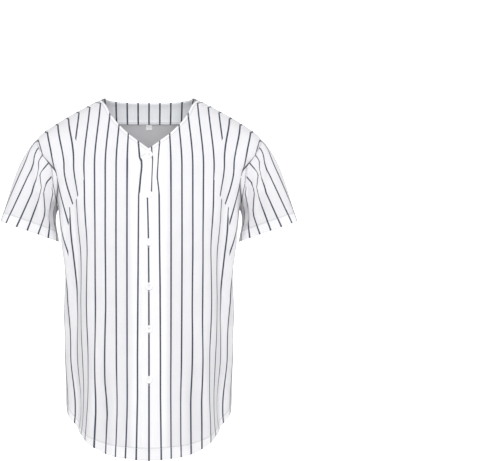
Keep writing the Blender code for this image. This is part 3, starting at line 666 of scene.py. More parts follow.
def ranged(tree, value, low, high, at_low, at_high, soft=False):
    """Turn one range of values into another, and stay inside it."""
    inputs = {"Value": value, 1: low, 2: high, 3: at_low, 4: at_high}
    shape = "SMOOTHSTEP" if soft else "LINEAR"
    return node(tree, "ShaderNodeMapRange", inputs, interpolation_type=shape).outputs[0]


def clouds(tree, place, scale, detail, distortion=0.0):
    inputs = {"Vector": place, "Scale": scale, "Detail": detail, "Distortion": distortion}
    return node(tree, "ShaderNodeTexNoise", inputs).outputs["Fac"]


def uneven(tree, cloud, least, most=1.0):
    return ranged(tree, cloud, 0.3, 0.7, least, most)


def on_cloth(tree, label):
    return node(tree, "ShaderNodeAttribute", attribute_name=label).outputs["Fac"]


def mixed(tree, share, first, second):
    return node(tree, "ShaderNodeMix", {0: share, 6: first, 7: second}, data_type="RGBA").outputs[2]


def toned(tree, colour, value):
    return node(tree, "ShaderNodeHueSaturation", {"Color": colour, "Value": value}).outputs[0]


def raised(tree, shader, height, strength=1.0, distance=1.0):
    bump = node(tree, "ShaderNodeBump", {"Height": height, "Strength": strength, "Distance": distance})
    tree.links.new(bump.outputs["Normal"], shader.inputs["Normal"])


def new_material(name, roughness):
    made = bpy.data.materials.new(name)
    made.use_nodes = True
    shader = made.node_tree.nodes["Principled BSDF"]
    shader.inputs["Roughness"].default_value = roughness
    return made, made.node_tree, shader


def knit_cloth(name, white, doubled_painted_white, striped):
    """Double-knit polyester: fine ribs, a faint pucker along the seams, printed stripes, and a painted
    shadow line along each hem.
    """
    made, tree, shader = new_material(name, 0.78)
    shader.inputs["Sheen Weight"].default_value = 0.22
    shader.inputs["Sheen Roughness"].default_value = 0.45
    shader.inputs["Specular IOR Level"].default_value = 0.28
    uv = node(tree, "ShaderNodeUVMap", uv_map="cloth").outputs["UV"]
    place = node(tree, "ShaderNodeSeparateXYZ", {"Vector": uv})
    across, down = place.outputs["X"], place.outputs["Y"]
    hem_off = maths(tree, "ABSOLUTE", on_cloth(tree, "hem_way"))
    # Painted light: where the cloth is doubled it takes the whiter colour it is given
    white = mixed(tree, on_cloth(tree, "doubled"), white, doubled_painted_white)
    # Painted shadow: a darker line along each hem's turned edge, over a random unevenness of tone
    hem_line = ranged(tree, hem_off, *HEM_SHADOW_REACH, HEM_SHADOW_DARKENING, 1.0, soft=True)
    shade = maths(tree, "MULTIPLY", uneven(tree, clouds(tree, uv, 26.0, 3.0), 0.975), hem_line)
    colour = toned(tree, white, shade)
    if striped:
        # The print: one line each pitch, its edges a little soft and its ink a little uneven
        half = STRIPE_PITCH / 2
        off = maths(tree, "ABSOLUTE", maths(tree, "WRAP", across, half, -half))
        edge = (STRIPE_WIDTH / 2 - STRIPE_EDGE, STRIPE_WIDTH / 2 + STRIPE_EDGE)
        line = ranged(tree, off, *edge, 1.0, 0.0, soft=True)
        ink = maths(tree, "MULTIPLY", line, uneven(tree, clouds(tree, uv, 900.0, 1.0), 0.93))
        colour = mixed(tree, ink, colour, STRIPE_BLUE)
    tree.links.new(colour, shader.inputs["Base Color"])
    # The knit: ribs of small loops, puckers that fade away from each seam and hem, and some slack
    ribs = maths(tree, "SINE", maths(tree, "MULTIPLY", across, 2 * math.pi / RIB_PITCH))
    loops = maths(tree, "SINE", maths(tree, "MULTIPLY", down, 2 * math.pi / LOOP_PITCH))
    height = maths(tree, "MULTIPLY", ribs, RIB_RISE)
    height = maths(tree, "MULTIPLY_ADD", loops, LOOP_RISE, height)
    by_seam = ranged(tree, on_cloth(tree, "seam_way"), 0.0, SEAM_PUCKERS, 1.0, 0.0, soft=True)
    by_hem = ranged(tree, hem_off, 0.0, HEM_PUCKERS, 1.0, 0.0, soft=True)
    near = maths(tree, "MAXIMUM", by_seam, by_hem)
    pucker = maths(tree, "MULTIPLY", clouds(tree, uv, 95.0, 1.5), near)
    height = maths(tree, "MULTIPLY_ADD", pucker, PUCKER_RISE, height)
    groove = ranged(tree, hem_off, 0.0, GROOVE_HALF, -HEM_GROOVE, 0.0, soft=True)
    height = maths(tree, "ADD", height, groove)
    slack = clouds(tree, uv, 15.0, 2.0)
    raised(tree, shader, maths(tree, "MULTIPLY_ADD", slack, SLACK_RISE, height))
    return made


striped_cloth = knit_cloth("pinstriped_double_knit", CLOTH_WHITE, DOUBLED_PAINTED_LIGHT, True)
# The facing's cloth carries painted light: a brighter white where doubled, which is all of it
facing_cloth_painted_light = knit_cloth("pinstriped_facing_painted_light", CLOTH_WHITE, FACING_PAINTED_LIGHT, True)
# The reverse carries painted shade: a dark grey for the inside of the cloth
cloth_reverse_painted_shade = knit_cloth("plain_reverse_painted_shade", REVERSE_PAINTED_SHADE, REVERSE_PAINTED_SHADE, False)


def dress(piece, node_name, face=striped_cloth):
    """Let a piece of cloth stand for its solid."""
    piece.data.materials.append(face)
    # The reverse takes the painted shade grey
    piece.data.materials.append(cloth_reverse_painted_shade)
    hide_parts(node_name)
    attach(piece, "root")


def with_way_down(points, across):
    """Pair each place's distance across with its way down the cloth."""
    steps = np.linalg.norm(np.diff(points, axis=0), axis=2)
    way = np.concatenate([np.zeros((1, points.shape[1])), np.cumsum(steps, axis=0)])
    return np.stack([across, points[:1, :, 2] - way], axis=-1)


# The sewing: lock-stitching in white spun thread, one small stitch after another. It lies on the
# face of the cloth and runs just inside the edge of each turned hem.
THREAD_WHITE = (0.82, 0.82, 0.85, 1.0)
# Painted shade: the darker colour painted into the twist of the thread
THREAD_PAINTED_SHADE = (0.656, 0.656, 0.68, 1.0)
STITCH = {"Pitch": 0.0027, "Length": 0.0021, "Thickness": 0.00050, "Unevenness": 0.12, "Seed": 7}
STITCH_INSET = 0.0012          # how far the line of stitches runs inside the edge of a turned hem
STITCH_LIFT = 0.00012


def thread_finish():
    """Spun polyester thread: a fine twist along each strand, with painted shade in its grooves."""
    made, tree, shader = new_material("sewing_thread", 0.6)
    place = node(tree, "ShaderNodeTexCoord").outputs["Object"]
    twist = node(tree, "ShaderNodeTexWave", {"Vector": place, "Scale": 900.0, "Distortion": 2.0},
                 bands_direction="DIAGONAL").outputs["Fac"]
    tree.links.new(mixed(tree, twist, THREAD_PAINTED_SHADE, THREAD_WHITE), shader.inputs["Base Color"])
    raised(tree, shader, twist, 0.4, 0.0002)
    return made


def stitch_nodes():
    """Set one rounded stitch at each step of a line and turn it along the line."""
    tree = bpy.data.node_groups.new("stitching", "GeometryNodeTree")
    for label, kind in (("Geometry", "Geometry"), ("Pitch", "Float"), ("Length", "Float"),
                        ("Thickness", "Float"), ("Unevenness", "Float"), ("Seed", "Int"),
                        ("Thread", "Material")):
        tree.interface.new_socket(label, in_out="INPUT", socket_type="NodeSocket" + kind)
    tree.interface.new_socket("Geometry", in_out="OUTPUT", socket_type="NodeSocketGeometry")
    given = tree.nodes.new("NodeGroupInput").outputs
    even = node(tree, "GeometryNodeResampleCurve",
                {"Curve": given["Geometry"], "Length": given["Pitch"]}, mode="LENGTH")
    spots = node(tree, "GeometryNodeCurveToPoints", {"Curve": even.outputs["Curve"]}, mode="EVALUATED")
    turned = node(tree, "FunctionNodeAlignRotationToVector", {"Vector": spots.outputs["Tangent"]}, axis="X")
    varied = node(tree, "FunctionNodeRandomValue",
                  {"Seed": given["Seed"], 2: maths(tree, "SUBTRACT", 1.0, given["Unevenness"]),
                   3: maths(tree, "ADD", 1.0, given["Unevenness"])}, data_type="FLOAT")
    length = maths(tree, "MULTIPLY", given["Length"], varied.outputs[1])
    size = node(tree, "ShaderNodeCombineXYZ",
                {"X": length, "Y": given["Thickness"], "Z": given["Thickness"]})
    ball = node(tree, "GeometryNodeMeshUVSphere", {"Segments": 7, "Rings": 4, "Radius": 0.5})
    smooth = node(tree, "GeometryNodeSetShadeSmooth", {"Geometry": ball.outputs["Mesh"]})
    set_out = node(tree, "GeometryNodeInstanceOnPoints",
                   {"Points": spots.outputs["Points"], "Instance": smooth.outputs[0],
                    "Rotation": turned.outputs[0], "Scale": size.outputs[0]})
    real = node(tree, "GeometryNodeRealizeInstances", {"Geometry": set_out.outputs[0]})
    done = node(tree, "GeometryNodeSetMaterial",
                {"Geometry": real.outputs[0], "Material": given["Thread"]})
    tree.links.new(done.outputs[0], tree.nodes.new("NodeGroupOutput").inputs[0])
    return tree


def plain_mesh(thing):
    """The mesh that an object's modifiers make."""
    bpy.context.view_layer.update()
    seen = thing.evaluated_get(bpy.context.evaluated_depsgraph_get())
    return bpy.data.meshes.new_from_object(seen)


thread = thread_finish()
stitching_nodes = stitch_nodes()


def stitching(name, lines, **changes):
    """Sew along some lines and leave the stitches as one plain mesh."""
    curve = bpy.data.curves.new(name + "_line", "CURVE")
    curve.dimensions = "3D"
    for line in lines:
        spline = curve.splines.new("POLY")
        spline.points.add(len(line) - 1)
        spline.points.foreach_set("co", np.column_stack([line, np.ones(len(line))]).reshape(-1))
    guide = placed(name + "_line", curve)
    sewing = guide.modifiers.new("stitching", "NODES")
    sewing.node_group = stitching_nodes
    values = dict(STITCH, Thread=thread, **changes)
    for item in stitching_nodes.interface.items_tree:
        if item.in_out == "INPUT" and item.name in values:
            sewing[item.identifier] = values[item.name]
    mesh = plain_mesh(guide)
    mesh.name = name
    bpy.data.objects.remove(guide)
    bpy.data.curves.remove(curve)
    made = placed(name, mesh)
    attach(made, "root")
    return made


def hem_stitches(piece, grid, values, from_foot=True):
    """The line on the cloth's face, column by column, just inside the edge of a turned hem."""
    table = piece.index[grid][::-1] if from_foot else piece.index[grid]
    face = piece.points + piece.normals * (piece.extra + STITCH_LIFT)[:, None]
    found = []
    for column in table.T:
        reached = values[column] + STITCH_INSET
        past = np.nonzero((reached[1:] >= 0.0) & (reached[:-1] < 0.0))[0]
        if len(past):
            n = past[0]
            t = -reached[n] / (reached[n + 1] - reached[n])
            found.append(face[column[n]] * (1 - t) + face[column[n + 1]] * t)
    return np.array(found)


front_plan, back_plan, yoke_plan = front_cut(), back_cut(), yoke_cut()
front_grid = form.laid(front_plan)
back_half = form.laid(back_plan, True)
yoke_grid = form.laid(yoke_plan, True)
front_across = stripe_across(front_plan, front_grid[..., 0])
back_across = stripe_across(back_plan, back_half[..., 0], True)
turn_over = np.array([-1.0, 1.0])

# The strip over the shoulder carries the back's stripes on to meet the front's at the seam
shoulder_start = OVERLAP_STEPS + NECK_STEPS + 2
strip_share = np.linspace(0.0, 1.0, YOKE_STEPS + 1)[:, None]
yoke_across = (back_across[0, NECK_STEPS + 2:] * (1 - strip_share)
               + front_across[0, shoulder_start:] * strip_share)

# The button stand: the wearer's left front lies over the right one, held off by its own turned
# layers, and comes back down onto the body beside them
STAND_LIFT = 0.0021
STAND_FLAT, STAND_FADE = 0.020, 0.050
STAND_PAINTED_LIGHT = (0.036, 0.010)         # half width of the stand's turned layers, painted whiter as painted light, and their soft edge
HEM_BAND = ((0.0, 0.025), (0.30, 0.022), (0.55, 0.013), (1.0, 0.013))
BACK_HEM_BAND = 0.013
NECK_BAND = 0.005
FOLD_AT_WIDTH = 0.163          # where the fold below the armhole would meet the shoulder

armhole_rows = ARMHOLE_STEPS + 3
fold_column = int(np.argmax(front_grid[0, :, 0] >= FOLD_AT_WIDTH))
inner, outer = slice(None, fold_column + 1), slice(fold_column, None)


def front_seams(piece):
    return [piece.line(1, slice(None), -1), piece.line(0, 0, slice(shoulder_start, None)),
            piece.line(1, 0, slice(None))]


def front_edges(piece):
    share = np.abs(piece.plan[:, 0]) / float(side_seam_at(SIDE_NOTCH_HEIGHT))
    hem = [piece.line(0, -1, slice(None)), piece.line(1, -1, slice(None))]
    return [(hem, smooth_table(HEM_BAND, share)[:, 0]),
            ([piece.line(0, 0, slice(None, shoulder_start + 1))], NECK_BAND)]


def front_panel(name, hand):
    across = drawn_by_stand(hand * front_across, front_plan[..., 1])
    if hand < 0:
        across = waved(across, front_plan[..., 1])
    pitches, top, foot = SWALLOWED
    slip = pitches * ease((top - front_plan[..., 1]) / (top - foot))
    slip += ease((front_plan[0, :, 1] - front_plan[..., 1]) / SWALLOWED_ABOVE)
    slip *= hand * STRIPE_PITCH
    places = [with_way_down(front_grid, across)[:, inner],
              with_way_down(front_grid, across + slip)[:, outer]]
    piece = Cloth(name, [front_grid[:, inner], front_grid[:, outer]], places, hand)
    piece.plan = piece.spread([front_plan[:, inner], front_plan[:, outer]])
    push = crease_push("front", piece.plan[:, 0] * hand, piece.plan[:, 1])
    if hand > 0:
        away = (piece.plan[:, 0] - STAND_FLAT) / (STAND_FADE - STAND_FLAT)
        push -= STAND_LIFT * (1.0 - ease(away))
    piece.settle(push, front_seams, front_edges)
    # Painted light: the cloth over the button stand is marked doubled, so it takes the whiter colour
    reach, soft = STAND_PAINTED_LIGHT
    stand = 1.0 - ease((np.abs(piece.plan[:, 0]) - reach) / soft + 0.5)
    piece.doubled = np.maximum(piece.doubled, stand)
    hem = np.concatenate([hem_stitches(piece, grid, piece.bands[0]) for grid in (0, 1)])
    neck = hem_stitches(piece, 0, piece.bands[1], from_foot=False)
    return piece, stitching(name.replace("cloth", "stitching"), [hem, neck])


def back_seams(piece):
    lines = [piece.line(0, slice(None), 0), piece.line(0, slice(None), -1)]
    for grid in (1, 2):
        lines += [piece.line(grid, -1, slice(None)), piece.line(grid, slice(None), -1)]
    return lines


def back_edges(piece):
    middle, reach = piece.index[0].shape[1] // 2, NECK_STEPS + 2
    return [([piece.line(0, -1, slice(None))], BACK_HEM_BAND),
            ([piece.line(0, 0, slice(middle - reach, middle + reach + 1)),
              piece.line(1, slice(None), 0), piece.line(2, slice(None), 0)], NECK_BAND)]


def both_halves(half, sign):
    return np.concatenate([half[:, :0:-1], half * sign], axis=1)


to_right = np.array([-1.0, 1.0, 1.0])
front_left, front_left_stitching = front_panel("front_left_cloth", 1)
front_right, front_right_stitching = front_panel("front_right_cloth", -1)

back_places = with_way_down(back_half, back_across)
yoke_places = with_way_down(yoke_grid, yoke_across)
strip_right = (yoke_grid * to_right)[:, ::-1]
back = Cloth("back_cloth", [both_halves(back_half, to_right), yoke_grid, strip_right],
             [both_halves(back_places, turn_over), yoke_places, (yoke_places * turn_over)[:, ::-1]])
back.index[2] = back.index[2][:, ::-1]
back.plan = back.spread([both_halves(back_plan, turn_over), yoke_plan, yoke_plan * turn_over])
back.settle(crease_push("back", back.plan[:, 0], back.plan[:, 1]), back_seams, back_edges)
back_stitching = stitching("back_stitching", [hem_stitches(back, 0, back.bands[0])])

dress(front_left.shell(), "front_left")
dress(front_right.shell(), "front_right")
dress(back.shell(), "back")


# The set-in short sleeves: one piece each, sewn into the armhole and closed under the arm. They
# stand out and down from the shoulder, open at the cuff, with a soft diagonal crease at the front.
CUFF_OUTER = (0.3150, -0.2620)
CUFF_INNER = (0.1915, -0.3050)
CUFF_HALF_DEPTH = 0.044
CUFF_ROUNDNESS = 2.5
SLEEVE_CAP_RISE = 0.55
SLEEVE_CAP_EASE = 0.35
SLEEVE_CAP_DROP = 0.25
SLEEVE_START_SPREAD = 0.30
SLEEVE_CUFF_TURN = 0.40
SLEEVE_STEPS = 62
CUFF_POINTS = 600
SLEEVE_BAND = 0.020
SLEEVE_STRIPE_SCALE = 0.93
SLEEVE_STRIPE_GAP = 0.0180         # between two stripes beyond the ones that the front shows
SLEEVE_FACES = (0.24, 0.80)        # the shares of the way round between which it faces the front
SMOOTH_ROWS = 25                   # how many rows of its mesh the stripes' start is evened out over
STRIPE_RUN_ON = 8                  # how many of its end steps a stripe runs on past its ends
STRIPE_LEAST_GAP = 0.001
# The stripes on the front of a sleeve, each from the armhole to the cuff: distance from the
# middle of the jersey and height. They set off at a slant, and jog where the crease takes cloth.
SLEEVE_STRIPES = (
    ((0.2369, -0.0936), (0.2731, -0.1678), (0.2930, -0.2119), (0.3121, -0.2633), (0.3184, -0.2791)),
    ((0.2323, -0.1068), (0.2411, -0.1258), (0.2426, -0.1405), (0.2462, -0.1562), (0.2579, -0.1812),
     (0.3018, -0.2694)),
    ((0.2223, -0.1248), (0.2317, -0.1373), (0.2307, -0.1547), (0.2438, -0.2051), (0.2786, -0.2785)),
    ((0.2104, -0.1430), (0.2261, -0.1624), (0.2277, -0.1687), (0.2223, -0.1955), (0.2317, -0.2220),
     (0.2564, -0.2875)),
    ((0.1955, -0.1618), (0.2131, -0.1833), (0.2192, -0.2036), (0.2164, -0.2406), (0.2183, -0.2538),
     (0.2342, -0.2969)),
    ((0.1924, -0.1881), (0.2004, -0.1940), (0.1985, -0.2060), (0.2056, -0.2297), (0.2063, -0.2455),
     (0.2077, -0.2644), (0.2121, -0.3043)),
    ((0.1947, -0.2190), (0.1928, -0.2335), (0.1888, -0.2759), (0.1903, -0.3043)),
)

# side, way down the sleeve (0 seam, 1 cuff) and share round from the top of both ends, half width
# as a share of the way round, and depth in metres
SLEEVE_CREASES = (
    ("front", 0.05, 0.20, 0.42, 0.50, 0.055, 0.0060),
    ("front", 0.36, 0.48, 0.78, 0.60, 0.050, 0.0045),
    ("front", 0.00, 0.46, 0.34, 0.66, 0.050, 0.0050),
    ("front", 0.10, 0.78, 0.70, 0.84, 0.060, 0.0060),
    ("front", 0.12, 0.33, 0.50, 0.64, 0.050, -0.0022),
    ("back", 0.02, 0.30, 0.46, 0.56, 0.060, 0.0070),
    ("back", 0.20, 0.14, 0.66, 0.34, 0.055, 0.0050),
    ("back", 0.30, 0.52, 0.86, 0.62, 0.055, 0.0055),
    ("back", 0.05, 0.55, 0.40, 0.80, 0.060, 0.0060),
    ("back", 0.14, 0.42, 0.58, 0.66, 0.050, -0.0030),
)


def cuff_line(side, shares):
    outer = np.array([CUFF_OUTER[0], 0.0, CUFF_OUTER[1]])
    inner = np.array([CUFF_INNER[0], 0.0, CUFF_INNER[1]])
    turn = np.linspace(0.0, math.pi, CUFF_POINTS)
    flat = 2.0 / CUFF_ROUNDNESS
    along = -np.sign(np.cos(turn)) * np.abs(np.cos(turn)) ** flat
    line = (outer + inner) / 2 + along[:, None] * (inner - outer) / 2
    line[:, 1] = side * CUFF_HALF_DEPTH * np.sin(turn) ** flat
    return at_steps(line, walked(line), np.asarray(shares) * walked(line)[-1])


def sleeve_half(seam, middle, side):
    """One half of the sleeve, from the top line round to the underarm; rows run down to the cuff."""
    share = walked(seam) / walked(seam)[-1]
    cuff = cuff_line(side, share)
    axis = unit(np.array([CUFF_OUTER[1] - CUFF_INNER[1], 0.0, CUFF_INNER[0] - CUFF_OUTER[0]]))
    run = unit(np.gradient(seam, axis=0))
    away = seam - middle
    across = unit(away - run * (away * run).sum(axis=1)[:, None])
    spread = (0.5 + 0.5 * np.cos(math.pi * share))[:, None]
    outwards = np.array([1.0, 0.0, 0.0])
    start = across * SLEEVE_CAP_RISE * spread * (1 - SLEEVE_CAP_EASE * spread)
    start += axis * (1 - SLEEVE_CAP_DROP * spread) + outwards * SLEEVE_START_SPREAD * (1 - spread)
    finish = axis - outwards * SLEEVE_CUFF_TURN * (1 - spread)
    return seam, cuff, unit(start), unit(finish)


def sleeve_rows(seam, cuff, start, finish):
    reach = np.linalg.norm(cuff - seam, axis=1)[:, None]
    t = np.concatenate([np.array(EDGE_STEPS), np.arange(2, SLEEVE_STEPS - 1),
                        SLEEVE_STEPS - np.array(EDGE_STEPS)[::-1]]) / SLEEVE_STEPS
    t = t[:, None, None]
    return ((1 + 2 * t) * (1 - t) ** 2 * seam + t * (1 - t) ** 2 * reach * start
            + t * t * (3 - 2 * t) * cuff - t * t * (1 - t) * reach * finish)


def sleeve_grids():
    back_seam = back_half[:armhole_rows, -1]
    front_seam = np.concatenate([yoke_grid[:-1, -1], front_grid[:armhole_rows, -1]])
    middle = np.concatenate([front_seam, back_seam]).mean(axis=0)
    halves = [sleeve_half(front_seam, middle, -1.0), sleeve_half(back_seam, middle, 1.0)]
    # The two halves set off in the same direction where they meet, at the top and under the arm
    for end in (0, -1):
        both = halves[0][2][end] + halves[1][2][end]
        for half in halves:
            half[2][end] = unit(both)
    return [sleeve_rows(*half) for half in halves]


def stripe_count(width, height):
    """Which stripe of the sleeve's front a place lies on, with a share between two of them."""
    places = []
    for stripe in SLEEVE_STRIPES:
        line = np.array(stripe)
        first, last = line[1] - line[0], line[-1] - line[-2]
        line = np.concatenate([[line[0] - first * STRIPE_RUN_ON], line,
                               [line[-1] + last * STRIPE_RUN_ON]])
        places.append(np.interp(-height, -line[:, 1], line[:, 0]))
    gap = SLEEVE_STRIPE_GAP
    places = [places[0] + gap] + places + [places[-1] - gap, places[-1] - 2 * gap]
    count = np.full(width.shape, float(len(places) - 1))
    for n in range(len(places) - 1):
        far = places[n + 1]
        near = np.maximum(places[n], far + STRIPE_LEAST_GAP)
        inside = (width <= near) & (width > far)
        count[inside] = (n + (near - width) / (near - far))[inside]
    count[width > places[0]] = 0.0
    return count


def evened(values):
    """Even out a value along the sleeve."""
    window = np.hanning(SMOOTH_ROWS)
    padded = np.pad(values, SMOOTH_ROWS // 2, mode="edge")
    return np.convolve(padded, window / window.sum(), mode="valid")


def sleeve_places(grid, side, top=None):
    """The cloth's distance across at every point, and how far the creases push it in."""
    steps = np.linalg.norm(np.diff(grid, axis=1), axis=2)
    around = np.concatenate([np.zeros((len(grid), 1)), np.cumsum(steps, axis=1)], axis=1)
    share = around / around[:, -1:]
    down = np.linspace(0.0, 1.0, len(grid))[:, None]
    if side == "front":
        # Read off the stripes where the sleeve faces the front, and go on by length beside that
        counted = stripe_count(grid[..., 0], grid[..., 2]) * STRIPE_PITCH
        near, far = (np.argmax(share > limit, axis=1)[:, None] for limit in SLEEVE_FACES)
        way_near, way_far = (np.take_along_axis(around, column, axis=1) for column in (near, far))
        at_near, at_far = (np.take_along_axis(counted, column, axis=1) for column in (near, far))
        top = evened((at_near - way_near * SLEEVE_STRIPE_SCALE)[:, 0])[:, None]
        early = top + (at_near - top) * around / way_near
        late = at_far + (around - way_far) * SLEEVE_STRIPE_SCALE
        across = np.where(around < way_near, early, counted)
        across = np.where(around > way_far, late, across)
    else:
        across = top - around * SLEEVE_STRIPE_SCALE
    push = np.zeros_like(share)
    for where, d0, s0, d1, s1, half, depth in SLEEVE_CREASES:
        if where == side:
            push += trough(down, share, (d0, s0), (d1, s1), half, depth)
    return with_way_down(grid, across), push, top


def sleeve_piece(name, hand):
    grids, across, pushes = [], [], []
    top = None
    for grid, side in zip(sleeve_grids(), ("front", "back")):
        places, push, top = sleeve_places(grid, side, top)
        order = slice(None, None, -1) if side == "front" else slice(None)
        grids.append(grid[:, order])
        across.append(places[:, order] * (turn_over if hand < 0 else 1.0))
        pushes.append(push[:, order])
    piece = Cloth(name, grids, across, hand)
    piece.settle(piece.spread(pushes), lambda p: [p.line(grid, 0, slice(None)) for grid in (0, 1)],
                 lambda p: [([p.line(grid, -1, slice(None)) for grid in (0, 1)], SLEEVE_BAND)])
    hems = [hem_stitches(piece, grid, piece.bands[0]) for grid in (0, 1)]
    return piece, stitching(name.replace("cloth", "stitching"), hems)


sleeve_left, sleeve_left_stitching = sleeve_piece("sleeve_left_cloth", 1)
sleeve_right, sleeve_right_stitching = sleeve_piece("sleeve_right_cloth", -1)
dress(sleeve_left.shell(), "sleeve_left")
dress(sleeve_right.shell(), "sleeve_right")


# The back neck facing: a strip of the same striped cloth, face inwards and painted brighter as
# painted light, that lies against the inside of the back from the neck down, with a straight lower
# edge that is turned and stitched.
FACING_HEIGHT = -0.0460
FACING_REACH = 7               # shoulder steps past the neck that it spans
FACING_CLEAR = 0.0006
FACING_THICK = 0.0010
FACING_ROWS = 22
FACING_BAND = 0.004
FACING_WIDENS = 1.02            # how much wider it is at its foot

facing_columns = NECK_STEPS + 3 + FACING_REACH
facing_top = back_plan[0, :facing_columns]
facing_foot = np.column_stack([facing_top[:, 0] * FACING_WIDENS,
                               np.full(facing_columns, FACING_HEIGHT)])
facing_plan = np.linspace(facing_top, facing_foot, FACING_ROWS)
facing_plan[..., 1] = np.minimum(facing_plan[..., 1], facing_top[:, 1])
facing_half = form.laid(facing_plan, True)
facing_across = stripe_across(facing_plan, facing_half[..., 0], True)
facing_places = with_way_down(facing_half, facing_across)
facing = Cloth("back_neck_facing_cloth", [both_halves(facing_half, to_right)[:, ::-1]],
               [both_halves(facing_places, turn_over)[:, ::-1]])
facing.points = facing.points + facing.normals * (CLOTH_THICK + FACING_CLEAR + FACING_THICK)
facing.settle(np.zeros(len(facing.points)), lambda p: [p.line(0, 0, slice(None))],
              lambda p: [([p.line(0, -1, slice(None))], FACING_BAND)])
# Painted light: the whole facing takes its brighter white
facing.doubled[:] = 1.0
facing_stitching = stitching("facing_stitching", [hem_stitches(facing, 0, facing.bands[0])])
dress(facing.shell(FACING_THICK), "back_neck_facing",
      face=facing_cloth_painted_light)


# The size label: a small bare square of woven white satin, just under the facing's lower edge. A
# row of fine stitches along its top sews it to the inside of the back.
LABEL_SIZE = (0.0135, 0.0105)
LABEL_TOP = -0.0475
LABEL_THICK = 0.0004
LABEL_CLEAR = 0.0006
LABEL_SEWN_ROW = 2
LABEL_POINTS = (16, 14)
LABEL_STITCH_LIFT = 0.0001
LABEL_STITCH = {"Pitch": 0.0018, "Length": 0.0014, "Thickness": 0.0004}

label_across = np.linspace(LABEL_SIZE[0] / 2, -LABEL_SIZE[0] / 2, LABEL_POINTS[0])
label_down = np.linspace(0.0, LABEL_SIZE[1], LABEL_POINTS[1])
label_plan = np.array([[(x, LABEL_TOP - d) for x in label_across] for d in label_down])
label_grid = form.laid(label_plan, True)
label = Cloth("size_label_satin", [label_grid[:, ::-1] * to_right],
              [with_way_down(label_grid, label_plan[..., 0])])
label.points = label.points - label.normals * (CLOTH_THICK + FACING_CLEAR + LABEL_CLEAR)
label.settle(np.zeros(len(label.points)), lambda p: [p.line(0, 0, slice(None))], lambda p: [])
label_piece = label.shell(LABEL_THICK)

LABEL_WHITE = (0.90, 0.90, 0.91, 1.0)
SATIN_PITCH, SATIN_RISE = 0.00035, 0.00002


def satin_finish():
    """Woven satin: fine floats across the label, a little uneven."""
    made, tree, shader = new_material("label_satin", 0.36)
    uv = node(tree, "ShaderNodeUVMap", uv_map="cloth").outputs["UV"]
    down = node(tree, "ShaderNodeSeparateXYZ", {"Vector": uv}).outputs["Y"]
    floats = maths(tree, "SINE", maths(tree, "MULTIPLY", down, 2 * math.pi / SATIN_PITCH))
    slubs = uneven(tree, clouds(tree, uv, 700.0, 2.0), 0.94)
    tree.links.new(toned(tree, LABEL_WHITE, slubs), shader.inputs["Base Color"])
    raised(tree, shader, maths(tree, "MULTIPLY", floats, SATIN_RISE))
    return made


label_piece.data.materials.append(satin_finish())
sewn_row = label.index[0][LABEL_SEWN_ROW]
label_sewn = label.points[sewn_row] + label.normals[sewn_row] * LABEL_STITCH_LIFT
label_stitching = stitching("label_stitching", [label_sewn], **LABEL_STITCH)
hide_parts("size_label")
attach(label_piece, "root")


# Six glossy white four-hole buttons, dished, each sewn through to the front underneath with two
# strands of thread. Each stands in a worked buttonhole, a slit edged all round with close stitches.
BUTTON_HEIGHTS = (-0.130, -0.212, -0.309, -0.399, -0.486, -0.589)
BUTTON_RADIUS = 0.0075
BUTTON_STAND_OFF = 0.0016
BUTTON_PROFILE = ((0.0, 0.00055), (0.0040, 0.00055), (0.0046, 0.0008), (0.0052, 0.0013),
                  (0.0060, 0.0016), (0.0068, 0.0014), (0.0073, 0.0008), (0.0075, 0.0),
                  (0.0073, -0.0006), (0.0066, -0.0010), (0.0, -0.0010))
BUTTON_WHITE = (0.86, 0.86, 0.875, 1.0)
HOLE_RADIUS = 0.00085
HOLE_OFFSET = 0.0015
DRILL_LENGTH = 0.006
BUTTON_SIDES, HOLE_SIDES = 40, 14
SHARP_EDGE = math.radians(42)
STRAND = (0.00042, 0.0010)            # thickness, and how far a strand stands over the dish
STRAND_SUNK = 0.0004                  # how far its ends go into the holes
STRAND_FACES = (8, 13)                # sides of its section, and sections along it
BUTTONHOLE = (0.0190, 0.0012, 0.0012)     # length, half width, and how far below the button it sits
BUTTONHOLE_LIFT = 0.00025
BUTTONHOLE_POINTS = 61
BUTTONHOLE_STITCH = {"Pitch": 0.00062, "Length": 0.0010, "Thickness": 0.00055}
BESIDE_MIDDLE = 1e-9                  # a place on the centre line, counted with the wearer's left


def plastic_finish():
    """Moulded polyester: glossy, with a faint cloudy swirl and fine scuffs."""
    made, tree, shader = new_material("button_plastic", 0.22)
    shader.inputs["Coat Weight"].default_value = 0.3
    shader.inputs["Coat Roughness"].default_value = 0.12
    place = node(tree, "ShaderNodeTexCoord").outputs["Object"]
    swirl = uneven(tree, clouds(tree, place, 260.0, 3.0, distortion=1.2), 0.93)
    tree.links.new(toned(tree, BUTTON_WHITE, swirl), shader.inputs["Base Color"])
    scuffs = clouds(tree, place, 1800.0, 2.0)
    tree.links.new(uneven(tree, scuffs, 0.18, 0.34), shader.inputs["Roughness"])
    raised(tree, shader, scuffs, 0.25, 0.0001)
    return made


def from_bmesh(name, work):
    mesh = bpy.data.meshes.new(name)
    work.to_mesh(mesh)
    work.free()
    return mesh


